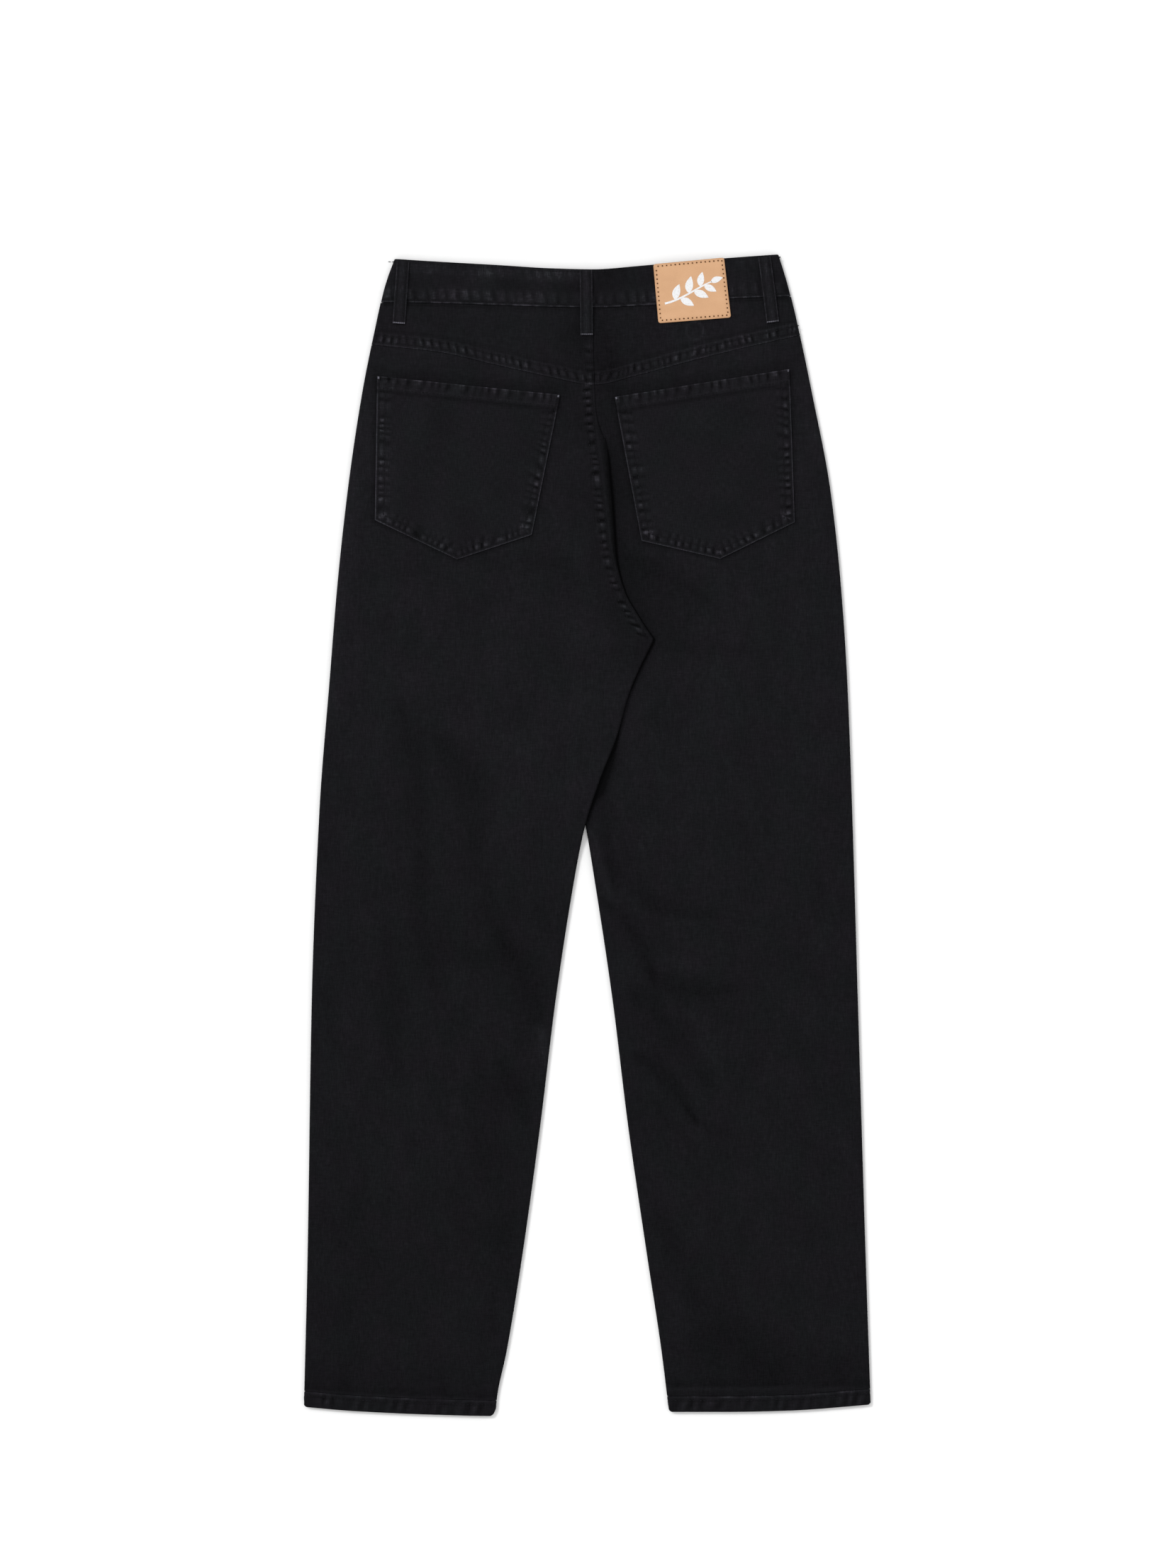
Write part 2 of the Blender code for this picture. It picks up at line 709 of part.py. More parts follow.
def disc(name, radius, low, high, finish, rim=0.0, sides=32):
    """A round disc with its edge rounded off by rim on the lower face."""
    profile = [(radius - rim, low), (radius, low + rim * 0.4), (radius, high)]
    x0, y0 = button_place()
    angles = 2 * np.pi * np.arange(sides) / sides
    points = [(x0 + r * math.cos(a), y0 + r * math.sin(a), z) for r, z in profile for a in angles]
    faces = [tuple(range(sides))[::-1], tuple(range(2 * sides, 3 * sides))]
    for ring in range(2):
        for k in range(sides):
            a, b = ring * sides + k, ring * sides + (k + 1) % sides
            faces.append((a, b, b + sides, a + sides))
    return solid(name, points, faces, finish)


def plate(name, corners, height, cloth, finish, columns=11, rows=11, hem=0.0):
    """A flat piece laid on the cloth: four corners, or five with a point at the bottom.

    height gives the surface that it lies on, and hem is the width of a raised band at its top.
    """
    xy = np.stack([corners["x"], corners["y"]], axis=1)
    top_left, top_right, low_right, low_left = xy[0], xy[1], xy[2], xy[-1]
    across = np.linspace(0, 1, columns)
    top = top_left + across[:, None] * (top_right - top_left)
    low = low_left + across[:, None] * (low_right - low_left)
    if len(xy) == 5:
        tip = (xy[3][0] - low_left[0]) / (low_right[0] - low_left[0])
        across[np.abs(across - tip).argmin()] = tip
        top = top_left + across[:, None] * (top_right - top_left)
        ends = zip(low_left, xy[3], low_right)
        low = np.stack([np.interp(across, (0, tip, 1), end) for end in ends], axis=1)
    down = np.linspace(0, 1, rows)
    if hem:
        share = hem / np.linalg.norm(low_left - top_left)
        below = np.linspace(share, 1, rows - 2)[1:]
        down = np.concatenate([[0, share * 0.5, share, share + 0.008], below])
    plan = top[None] + down[:, None, None] * (low - top)[None]
    z = height(plan[..., 0], plan[..., 1]) + LAID_GAP + cloth / 2
    raised = np.zeros(plan.shape[:2])
    if hem:
        raised[:3] = FELL_RAISE
    return wall(name, np.concatenate([plan, z[..., None]], axis=2), finish, cloth=cloth, raised=raised)


def left_face(x, y):
    return left_top(x, y) + CLOTH / 2


def right_face(x, y):
    return right_top(x, y) + CLOTH / 2


def waist_face(x, y):
    """The upper face of the waistband, and of the yoke below its seam."""
    band = band_height(x) + BAND_CLOTH / 2
    panel = np.where(x < left_inner(y), left_face(x, y), right_face(x, y))
    return panel + (band - panel) * ease((y - read(WAIST, "seam", x, "x") + 9) / 8)


def belt_loop(name, top, low, seat, denim):
    """A belt loop: a strip sewn down at both ends, which stands off the cloth between them."""
    down = np.linspace(0, 1, 10)
    middle = np.array(top) + down[:, None] * (np.array(low) - top)
    along = (np.array(low) - top) / np.linalg.norm(np.array(low) - top)
    side = np.array([-along[1], along[0]])
    plan = middle[:, None] + side * (np.array([-0.5, -0.2, 0.2, 0.5]) * LOOP_WIDTH)[None, :, None]
    z = waist_face(plan[..., 0], plan[..., 1]) + LAID_GAP + LOOP_CLOTH / 2
    z = z + (LOOP_RISE * np.sin(np.pi * down) ** 2 + seat * ease((down - 0.3) / 0.3))[:, None]
    return wall(name, np.concatenate([plan, z[..., None]], axis=2), denim, cloth=LOOP_CLOTH)


def main():
    for old in list(bpy.data.objects):
        bpy.data.objects.remove(old)
    denim = material("black denim", DENIM, 0.9)
    back_leg_left(denim)
    back_leg_right(denim)
    front_leg_left(denim)
    front_leg_right(denim)
    yokes(denim)
    waistband(denim)
    hem("hem_left", left_outer, left_inner, denim)
    hem("hem_right", right_inner, right_outer, denim)
    plate("back_pocket_left", LEFT_POCKET, left_face, POCKET_CLOTH, denim, hem=POCKET_HEM)
    plate("back_pocket_right", RIGHT_POCKET, right_face, POCKET_CLOTH, denim, hem=POCKET_HEM)
    plate("patch", PATCH, waist_face, PATCH_CLOTH, material("tan leather", LEATHER, 0.6), 7, 9)
    for name, place in LOOPS.items():
        belt_loop(name, place["top"], place["low"], place["seat"], denim)
    metal = material("aged metal", METAL, 0.4, 1.0)
    disc("button", BUTTON_RADIUS, 0.0, BUTTON_THICKNESS, metal, BUTTON_RIM)


main()
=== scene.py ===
"""The looks of black mom jeans, laid flat on their front with the back facing up.

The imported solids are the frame. Each piece of cloth is a thin shell on its solid's form, worked out
from the same tables on a finer grid, with the small creases, the puckers along the seams and the
stitches added. Lengths are in millimetres: +X across the waist, +Y up to the waist, +Z up.
"""

import math

import bpy
import numpy as np
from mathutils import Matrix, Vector


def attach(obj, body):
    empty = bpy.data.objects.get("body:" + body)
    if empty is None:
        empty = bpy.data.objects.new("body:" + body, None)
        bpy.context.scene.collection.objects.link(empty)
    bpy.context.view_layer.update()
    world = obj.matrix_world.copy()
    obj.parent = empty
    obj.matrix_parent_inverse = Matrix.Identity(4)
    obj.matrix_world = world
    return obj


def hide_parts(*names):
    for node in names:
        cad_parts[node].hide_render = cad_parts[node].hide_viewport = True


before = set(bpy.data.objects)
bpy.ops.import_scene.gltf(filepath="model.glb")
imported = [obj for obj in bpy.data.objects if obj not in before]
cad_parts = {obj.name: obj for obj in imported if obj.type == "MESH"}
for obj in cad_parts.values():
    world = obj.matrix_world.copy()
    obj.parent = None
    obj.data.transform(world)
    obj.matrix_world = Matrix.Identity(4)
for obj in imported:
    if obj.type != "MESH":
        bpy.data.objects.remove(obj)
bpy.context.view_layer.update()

MM = 0.001

# What turns a place in the tables, which count from the object's middle in the photograph, into a
# place in the frame
ORIGIN_SHIFT = (0.3, 0.2, 0.0)

# The photograph: its frame in pixels, the object's middle in it, and the size of a pixel
PHOTO_WIDTH, PHOTO_HEIGHT = 1659, 2212
PHOTO_MIDDLE = (829, 1178)
PIXEL = 0.61
CAMERA_HEIGHT = 5000.0

# The light, and the surface below: its half width and how far under the cloth it lies, in metres
SKY = 0.86
KEY = 1.25
KEY_DIRECTION = (0.6, -0.5, -0.85)
KEY_SPREAD = math.radians(14)
FLOOR_HALF = 4.0
FLOOR_DROP = 0.0002

# Cloth and seams: walls, the gaps between them, the raised bands, and how a free edge thins out
CLOTH = 1.1
SEAM_GAP = 0.3
LAID_GAP = 0.45
FELL_RAISE = 0.5
FELL_WIDTH = 11.0
FELL_STEP = 0.8
EDGE_ROUND = 0.8
EDGE_SHARE = 0.4

# How the flattened legs lie: layers, the cloth that turns under at the edges, and the lap
FLOOR_LAYER = CLOTH / 2
OUTER_RETURN = 9.0
INNER_RETURN = 8.0
PUFF_REACH = 9.0
CALM_REACH = 14.0
LEFT_FREE_Y, LEFT_FREE_RAMP = 60.0, 80.0
RIGHT_FREE_Y, RIGHT_FREE_RAMP = 0.0, 40.0
LAP_RAMP = 7.0
SINK_RAMP = 26.0
TUCKED_LAYER = 2.2
HIDDEN_FOLD_TOP = 2.05
CROTCH_Y = 167.0
PLEAT_Y = 341.0
FRONT_LIFT = 0.2

# Waistband
BAND_CLOTH = 1.7
BAND_FLOOR = BAND_CLOTH / 2
BAND_DEPTH = 38.0
BAND_LAP_LAYER = 2.9
BAND_MIDDLE = 5.0
BAND_SIDE = 4.3
BAND_STITCH = 2.4
FRONT_DROP = 8.0
FRONT_LAP = 19.0
LAP_END_START = 34.0
LAP_END_RAMP = 12.0

# Hems
HEM_CLOTH = 1.9
HEM_HEIGHT = 13.5
HEM_TOP = 3.7
HEM_STITCH = 9.8
HEM_CORNER = 3.2
HEM_CORNER_RISE = 1.8

# Pieces sewn on
LOOP_WIDTH = 10.7
LOOP_CLOTH = 1.5
LOOP_RISE = 1.2
LOOP_STITCH = 1.8
POCKET_CLOTH = 1.1
POCKET_HEM = 11.6
POCKET_WIDTH, POCKET_DEPTH = 157.0, 140.0
# A painted shadow in the left pocket's mouth: a thin dark slit just under its top edge, near the left
# corner
POCKET_MOUTH_SHADE = dict(x=-172, y=392.3, width=7, height=1.3)
PATCH_CLOTH = 1.5
PATCH_WIDTH, PATCH_DEPTH, PATCH_CORNER = 61.0, 52.0, 2.0
PATCH_DENT, PATCH_STITCH = 2.4, 2.2
BUTTON_RADIUS = 8.5
PAINT = 0.15

# The grids of the shells: steps round a turn, steps down a leg, columns across, and where the rows
# start to tilt towards the yoke and the hem. Last come the rows of the bands, the hems and the waist
TURN_STEPS = 7
SWEEP_ROUNDS = 5
ROW_STEP = 3.0
SEAT_STEP = 1.5
FRONT_STEP = 4.0
LEFT_COLUMNS, RIGHT_COLUMNS, HIDDEN_COLUMNS = 82, 78, 7
YOKE_COLUMNS = 150
FRONT_LEFT_COLUMNS, FRONT_RIGHT_COLUMNS, FRONT_LAP_COLUMNS = 51, 53, 5
BAND_COLUMNS = 270
BAND_LEFT_COLUMNS, BAND_RIGHT_COLUMNS, BAND_RAMP_COLUMNS, BAND_END_COLUMNS = 90, 45, 6, 10
HEM_COLUMNS, HEM_UNDER_COLUMNS = 110, 60
POCKET_GRID, PATCH_GRID, LOOP_GRID_ROWS = (96, 86), (56, 48), 44
LEG_TOP, LEG_BOTTOM, FRONT_TOP = 404.0, -484.0, 455.0
ROWS_TILT_ABOVE = 349.0
ROWS_TILT_BELOW = -394.0
BAND_STEPS = (0, 0.9, 1.8, 2.7, 4.2, 5.5, 6.8, 8.3, 9.2, 10.1, 11, 11.8)
HEM_ROWS = np.array([HEM_HEIGHT, 13.1, 12.6, 11.7, 10.8, 9.5, 8, 6.5, 5, 3.5, 2.2, 1.2, 0.5, 0])
WAIST_ROWS = np.concatenate(
    [(0, 0.4, 1.0, 1.7, 2.4, 3.1), range(4, 36, 2), (35.3, 36.2, 37.1, 37.6, BAND_DEPTH)]
)

# Finer columns on the right leg, from the left one's edge on, and a loop's, as shares of its width
SHADED_STEPS = (0.9, 1.7, 2.4, 3.1, 3.9, 4.8, 5.9, 7.3, 9.2)
LOOP_COLUMNS = (0.16, 0.28, 0.34, 0.4, 0.46, 0.5)

# Folds, wear and painted shade. Wear and painted shade make the cloth lighter, and darker where they are
# negative
# Fold and crease troughs are darkened as painted shade, and their ridges lightened as wear
FOLD_DEPTH, FOLD_WEAR_AND_SHADE = 0.5, 0.4
CREASE_DEPTH, CREASE_WEAR_AND_SHADE = 0.5, 0.12
# Puckers: their light and dark is partly wear on the crests and partly painted light and shade
ROPE, ROPE_WEAR_AND_SHADE = 0.3, 0.62
# Stitch grooves: sunk, and darkened as painted shade
GROOVE, GROOVE_SHADE = 0.22, 0.22
GROOVE_WIDTH = 0.6
RING_MARK = dict(x=92.1, y=433.7, radius=7.6, height=0.16, wear_and_shade=0.45)
# Two places of painted highlight on the seat seam's band
HIGHLIGHT_PLACES = ((-2, 393), (11, 260))

# Stitches, and the tacks that hold loops and pockets
STITCH_IN = 2.7
FELL_ROWS = (STITCH_IN, FELL_WIDTH - STITCH_IN)
POCKET_ROWS = (2.0, 7.3)
STITCH_PITCH = 3.1
STITCH_LENGTH = 2.5
THREAD = 0.75
FINE_THREAD = 0.5
LOOP_THREAD = 0.6
LOOP_TACK = dict(pitch=1.19, length=1.4, thread=0.72)
POCKET_TACK = dict(pitch=1.79, length=1.9, thread=0.7)
PATCH_STITCHES = dict(pitch=3.7, length=1.4, thread=1.15)

# The puckered bands: their width, the places of their stitching, the seed of their waves, the length
# of a pucker, the rows of puckers (the middle, half width and strength of each), the wear of the
# near and the far edge, and the tone of the rest
FELL = dict(width=FELL_WIDTH, sewn=FELL_ROWS)
SEAT_BAND = dict(FELL, seed=3, pitch=7.6, puckers=[(6.2, 3.3, 1.2)], edges=(0.35, 0.0))
MIDDLE_BAND = dict(FELL, seed=3, pitch=7.6, puckers=[(6.2, 3.3, 1.05)], edges=(0.3, 0.0))
YOKE_BANDS = {
    "left": dict(FELL, seed=11, pitch=7.2, puckers=[(6.0, 3.6, 1.0)], edges=(0.55, 0.05), tone=0.08),
    "right": dict(FELL, seed=17, pitch=6.4, puckers=[(6.0, 3.6, 0.9)], edges=(0.65, 0.3), tone=0.06),
}
POCKET_SIDE = dict(
    width=13.6,
    pitch=7.6,
    puckers=[(4.9, 2.6, 1.0), (10.2, 2.4, 0.45)],
    sewn=(2.2, 7.4),
    edges=(0.75, 0.0),
    tone=-0.06,
)
POCKET_TURN = dict(
    width=POCKET_HEM,
    pitch=8.6,
    puckers=[(2.4, 3.2, 0.8), (7.4, 2.2, 0.3)],
    sewn=(),
    edges=(0.45, 0.1),
    tone=-0.06,
)


def table(columns, *rows):
    """A dict with one array for each named column."""
    return {name: np.array(values, float) for name, values in zip(columns.split(), zip(*rows))}


# The outer edges, where the cloth turns over to the underside
SIDES = table(
    "y left right",
    (500, -164.5, 164.0),
    (472, -174.5, 172.6),
    (435, -183.0, 181.5),
    (380, -194.0, 193.0),
    (298, -206.2, 208.6),
    (215, -215.3, 217.8),
    (133, -222.0, 223.3),
    (23, -230.6, 227.5),
    (-141, -237.3, 232.4),
    (-361, -240.9, 239.1),
    (-500, -244.3, 243.8),
)

# The waistband's two edges and the lower edge of the yoke, from side to side
WAIST = table(
    "x top seam yoke",
    (-183, 496.5, 458.1, 421.5),
    (-128, 493.0, 457.2, 415.4),
    (-79, 490.2, 455.6, 404.5),
    (-30, 487.2, 454.0, 393.6),
    (5, 486.4, 453.5, 387.3),
    (43, 489.2, 455.0, 395.6),
    (92, 493.8, 458.6, 408.7),
    (129, 496.8, 461.4, 417.8),
    (183, 500.6, 463.4, 430.0),
)

# The inner edge of the left half: the seat seam, the fold beside it, then the leg's own edge
LEFT_INNER = table(
    "y x",
    (460, 6.8),
    (390, 8.0),
    (365, 9.4),
    (353, 11.6),
    (345, 14.4),
    (337, 16.6),
    (328, 17.7),
    (304, 19.4),
    (291, 20.7),
    (267, 22.4),
    (240, 24.4),
    (225, 27.1),
    (210, 31.8),
    (203, 34.8),
    (190, 42.6),
    (179, 49.5),
    (172, 54.3),
    (168.5, 56.5),
    (165, 55.2),
    (158, 51.9),
    (145, 45.4),
    (121, 35.5),
    (84, 24.9),
    (48, 10.7),
    (7, -2.4),
    (-32, -10.4),
    (-141, -27.4),
    (-251, -40.9),
    (-361, -56.1),
    (-443, -69.5),
    (-484, -78.0),
    (-493, -78.8),
    (-500, -81.6),
)

# The inner edge of the right leg, hidden under the left one above y = 7
RIGHT_INNER = table(
    "y x",
    (167, 0.0),
    (139, -0.8),
    (109, -4.3),
    (78, -7.6),
    (48, -7.6),
    (23, -4.9),
    (7, -1.6),
    (-32, 4.9),
    (-141, 21.3),
    (-251, 34.9),
    (-361, 51.0),
    (-443, 63.4),
    (-500, 70.4),
)

# The right edge of the seat seam's band, and where the right half starts, tucked under the left
SEAT = table(
    "y seam tuck",
    (460, 4.2, 4.8),
    (390, 5.4, 6.0),
    (353, 7.9, 8.5),
    (340, 9.2, 12.0),
    (328, 11.0, 9.5),
    (304, 14.0, 6.4),
    (279, 17.1, 5.3),
    (249, 20.7, 4.8),
    (218, 28.0, 4.0),
    (191, 40.3, 3.0),
    (169, 54.0, 2.0),
)

# The height of the top layer at the middle of a leg and at its outer folds
LOFT = table(
    "y middle edge",
    (460, 4.5, 3.8),
    (430, 4.3, 3.9),
    (380, 4.0, 4.0),
    (300, 4.1, 4.1),
    (170, 4.0, 4.2),
    (0, 3.8, 4.3),
    (-250, 3.6, 4.1),
    (-440, 3.5, 3.9),
    (-500, 3.5, 3.7),
)

# How the left half is raised where it laps over the right one: from which x, by how much,
# and how high the layer lies that turns under its inner edge
LAP = table(
    "y start lift low",
    (390, -6.0, 0.0, 0.55),
    (368, -6.0, 0.1, 0.8),
    (356, -6.0, 0.2, 1.3),
    (345, -6.0, 0.25, 1.6),
    (337, -6.0, 0.4, 1.9),
    (324, -6.0, 1.1, 2.9),
    (300, -6.0, 2.0, 3.6),
    (182, -10.4, 2.2, 3.6),
    (160, -13.0, 2.8, 3.8),
    (109, -14.4, 2.8, 3.8),
    (48, -17.9, 2.8, 3.8),
    (17, -19.6, 2.8, 3.8),
    (5, -21.0, 2.6, 3.8),
    (-12, -26.0, 0.6, 1.2),
    (-22, -30.0, 0.0, 0.55),
    (-500, -104.0, 0.0, 0.55),
)

# How far the right half sinks beside and under the left one, as a share of its height
SINK = table(
    "y share",
    (390, 0.0),
    (364, 0.05),
    (350, 0.2),
    (343, 0.3),
    (334, 0.5),
    (324, 0.9),
    (310, 1.0),
    (12, 1.0),
    (0, 0.6),
    (-14, 0.15),
    (-30, 0.0),
    (-500, 0.0),
)

# The shade on the right half along the left one's edge: how deep and wide its line is, and how
# deep the softer shade beyond it
FOLD_SHADE = table(
    "y depth width tail",
    (350, 0.0, 0.7, 0.0),
    (338, 0.15, 0.8, 0.0),
    (324, 0.9, 1.5, 0.05),
    (300, 1.3, 1.9, 0.1),
    (262, 1.5, 1.7, 0.05),
    (225, 1.4, 1.3, 0.0),
    (212, 0.9, 1.0, 0.0),
    (178, 0.9, 1.2, 0.05),
    (164, 1.5, 1.8, 0.05),
    (150, 1.4, 1.6, 0.05),
    (133, 1.2, 1.4, 0.05),
    (110, 0.6, 1.0, 0.0),
    (90, 1.2, 1.3, 0.0),
    (75, 1.6, 3.2, 0.25),
    (58, 1.8, 5.4, 0.55),
    (40, 1.8, 6.0, 0.55),
    (27, 1.1, 2.6, 0.35),
    (10, 0.8, 1.3, 0.1),
    (-6, 0.0, 1.0, 0.0),
)

# The largest folds of each half, whose troughs are also darkened as painted shade: start, bend and end of
# its line, its half width and its height
LEFT_FOLDS = table(
    "x1 y1 x2 y2 x3 y3 width height",
    (-103, 450, -54, 427, -18, 408, 13, -0.5),
    (-20, 236, -55, 231, -92, 236, 11, -0.5),
    (-162, 112, -140, 60, -144, -30, 15, -0.55),
    (-144, -20, -146, -80, -130, -130, 14, -0.5),
    (-128, 80, -98, 64, -94, -10, 15, -0.65),
    (-94, -28, -90, -66, -72, -94, 17, -0.5),
    (50, 180, 49, 162, 38, 142, 7, -0.45),
    (-74, -84, -54, -118, -43, -158, 13, -0.8),
    (-126, -96, -95, -112, -68, -104, 13, -0.45),
    (-172, -74, -170, -130, -165, -215, 10, -0.55),
    (-76, -196, -58, -216, -52, -244, 12, -0.6),
    (-94, -200, -84, -270, -74, -350, 24, -0.45),
    (-104, -330, -84, -370, -78, -420, 26, -0.25),
    (-41, -164, -38, -180, -36, -198, 5, 0.9),
    (-116, -226, -110, -234, -108, -244, 6, 0.5),
    (-200, -310, -208, -370, -210, -470, 30, -0.35),
    (-40, 110, -62, 60, -70, 0, 24, 0.2),
    (-46, -64, -38, -74, -32, -84, 9, -0.4),
    (-150, -330, -140, -400, -130, -470, 48, -0.15),
)
RIGHT_FOLDS = table(
    "x1 y1 x2 y2 x3 y3 width height",
    (12, 46, 15, 0, 22, -44, 6.5, -0.5),
    (16, 0, 20, -66, 105, -68, 9, -0.75),
    (12, -56, 46, -78, 56, -124, 8, -0.8),
    (54, -118, 70, -140, 128, -132, 11, -0.75),
    (42, -136, 74, -160, 102, -212, 12, -0.55),
    (42, -189, 72, -205, 92, -245, 9, -1.0),
    (84, -232, 98, -257, 120, -256, 6, -0.6),
    (52, -222, 68, -240, 92, -270, 7, -0.4),
    (4, 2, 13, -30, 21, -56, 4.5, 0.7),
    (66, -104, 78, -112, 98, -114, 8, 0.4),
    (84, -152, 92, -159, 108, -158, 7, 0.3),
    (36, 238, 70, 225, 102, 202, 10, -0.6),
    (40, 226, 62, 210, 88, 190, 15, -0.35),
    (60, 163, 95, 158, 135, 160, 8, -0.35),
    (60, -326, 74, -362, 96, -400, 15, -0.5),
    (88, -400, 118, -430, 160, -466, 26, -0.48),
    (80, -440, 140, -440, 220, -462, 26, -0.35),
)

# Smaller creases of each half, in the same columns
LEFT_CREASES = table(
    "x1 y1 x2 y2 x3 y3 width height",
    (-60, 215, -85, 190, -120, 182, 9, -0.3),
    (-35, 175, -60, 150, -95, 140, 10, 0.25),
    (-20, 130, -50, 105, -85, 95, 9, -0.28),
    (-25, 60, -55, 35, -95, 30, 9, -0.25),
    (-35, 15, -60, -5, -90, -8, 8, 0.22),
    (-38, -60, -60, -75, -95, -70, 8, -0.25),
    (-50, -105, -66, -150, -60, -190, 7, -0.25),
    (-72, -250, -82, -290, -78, -330, 8, 0.25),
    (-120, -150, -128, -200, -122, -250, 10, -0.25),
    (-165, -250, -172, -300, -168, -350, 11, 0.25),
    (-200, 60, -205, 10, -203, -50, 10, 0.2),
    (-105, -290, -112, -330, -108, -370, 9, -0.25),
    (-215, -390, -190, -420, -150, -428, 10, -0.3),
    (-100, -445, -130, -440, -170, -455, 8, 0.25),
)
RIGHT_CREASES = table(
    "x1 y1 x2 y2 x3 y3 width height",
    (13, 4, 22, -36, 48, -72, 5, 0.9),
    (21, 26, 30, -14, 62, -64, 6, -0.9),
    (50, 190, 80, 165, 120, 160, 10, -0.3),
    (62, 150, 90, 130, 130, 128, 9, 0.25),
    (40, 110, 70, 85, 115, 80, 10, -0.3),
    (25, 70, 60, 45, 110, 42, 9, 0.25),
    (10, 45, 40, 20, 85, 12, 7, -0.3),
    (16, -25, 45, -62, 90, -82, 6, -0.25),
    (30, -85, 55, -110, 90, -118, 7, 0.25),
    (34, -135, 60, -158, 90, -186, 6, -0.25),
    (52, -190, 78, -215, 104, -226, 7, 0.25),
    (48, -262, 66, -285, 84, -300, 7, -0.2),
    (130, -160, 150, -200, 158, -250, 10, -0.2),
    (185, -60, 192, -120, 190, -180, 10, 0.2),
    (200, -280, 205, -330, 202, -380, 10, -0.2),
    (110, -330, 120, -370, 118, -410, 10, -0.25),
    (90, -430, 130, -422, 180, -436, 9, -0.3),
    (160, 190, 172, 120, 170, 60, 11, -0.2),
)

# The lower edges of the two hems
HEM_ENDS = table(
    "x bottom",
    (-246, -491.5),
    (-201, -495.3),
    (-133, -498.4),
    (-78, -499.6),
    (70, -496.0),
    (120, -496.0),
    (171, -495.0),
    (245, -489.6),
)

# The back pockets and the patch: corners clockwise from the one at the top left
LEFT_POCKET = np.array([(-180.9, 394.5), (-23.8, 378.4), (-48.0, 258.2), (-112.2, 237.0), (-182.9, 270.8)])
RIGHT_POCKET = np.array([(23.2, 376.6), (173.5, 400.6), (178.0, 269.0), (114.0, 237.5), (46.4, 253.0)])
PATCH = np.array([(56.3, 490.6), (117.2, 496.4), (123.2, 444.9), (60.8, 439.9)])

# The belt loops: the middles of their ends, and the raised band that the lower end lies on
LOOPS = {
    "loop_back_center": dict(top=(-1.5, 485.6), low=(-0.8, 429.6), seat=FELL_RAISE),
    "loop_back_left": dict(top=(-158.6, 493.4), low=(-162.3, 439.4), seat=0.0),
    "loop_back_right": dict(top=(151.9, 497.0), low=(159.2, 440.6), seat=0.0),
}

# The leaf that the patch is painted with: its stem, and where each leaf grows and on which side
SPRIG_STEM = ((-24.0, -9.0), (-8.0, -7.0), (6.0, 3.0), (18.0, 6.0))
SPRIG_LEAVES = table(
    "along side length width",
    (0.2, 1, 14.0, 6.6),
    (0.3, -1, 13.0, 6.2),
    (0.47, 1, 14.5, 6.8),
    (0.57, -1, 13.5, 6.4),
    (0.73, 1, 12.5, 6.0),
    (0.82, -1, 11.5, 5.6),
    (0.98, 0, 11.0, 5.2),
)
LEAF_ANGLE = math.radians(52)

# The button from the middle of its face to the middle of its back: the radius and the height
BUTTON_FACE = ((0, 0.16), (2.6, 0.12), (3.6, 0.3), (4.2, 0.34), (4.8, 0.2), (5.6, 0.06), (6.6, 0.0))
BUTTON_RIM = ((7.6, 0.06), (8.2, 0.25), (BUTTON_RADIUS, 0.55), (8.2, 0.85), (0, 0.9))
BUTTON_PROFILE = BUTTON_FACE + BUTTON_RIM
BUTTON_SIDES = 64


# Curves and noise


def smooth(xs, ys, x):
    """A smooth curve through the points, with no overshoot, read at x."""
    order = np.argsort(xs)
    xs, ys = xs[order], ys[order]
    slopes = np.diff(ys) / np.diff(xs)
    tangents = np.empty(len(xs))
    product, total = slopes[1:] * slopes[:-1], slopes[1:] + slopes[:-1]
    tangents[1:-1] = np.where(product > 0, 2 * product / np.where(product > 0, total, 1), 0)
    tangents[0], tangents[-1] = slopes[0], slopes[-1]
    x = np.clip(x, xs[0], xs[-1])
    i = np.clip(np.searchsorted(xs, x, side="right") - 1, 0, len(xs) - 2)
    step, rise = xs[i + 1] - xs[i], ys[i + 1] - ys[i]
    t = (x - xs[i]) / step
    bend = (tangents[i] * step - rise) * (1 - t) + (rise - tangents[i + 1] * step) * t
    return ys[i] + t * rise + t * (1 - t) * bend


def curve(tab, column, key="y"):
    """One column of a table, as a smooth function of its key column."""
    return lambda at: smooth(tab[key], tab[column], np.asarray(at, float))


left_outer, right_outer = curve(SIDES, "left"), curve(SIDES, "right")
left_inner, right_inner = curve(LEFT_INNER, "x"), curve(RIGHT_INNER, "x")
middle_height, edge_height = curve(LOFT, "middle"), curve(LOFT, "edge")
lap_start, lap_lift, low_height = curve(LAP, "start"), curve(LAP, "lift"), curve(LAP, "low")
sink_share = curve(SINK, "share")
seat_edge, tuck_start = curve(SEAT, "seam"), curve(SEAT, "tuck")
line_depth, line_width, tail_depth = (curve(FOLD_SHADE, part) for part in ("depth", "width", "tail"))
waist_top, waist_seam, yoke_edge = (curve(WAIST, edge, "x") for edge in ("top", "seam", "yoke"))
hem_end = curve(HEM_ENDS, "bottom", "x")


def steady(value):
    """A function of y that is the same everywhere."""
    return lambda y: np.full(np.shape(y), float(value))


def level(value):
    """A function of x and y that is the same everywhere."""
    return lambda x, y: np.full(np.shape(x), float(value))


floor_height = steady(FLOOR_LAYER)


def ease(t):
    """From 0 to 1, with soft ends."""
    t = np.clip(t, 0, 1)
    return t * t * (3 - 2 * t)


def pulse(distance, width):
    """1 at no distance, falling off smoothly beyond this width."""
    return np.exp(-((distance / width) ** 2))


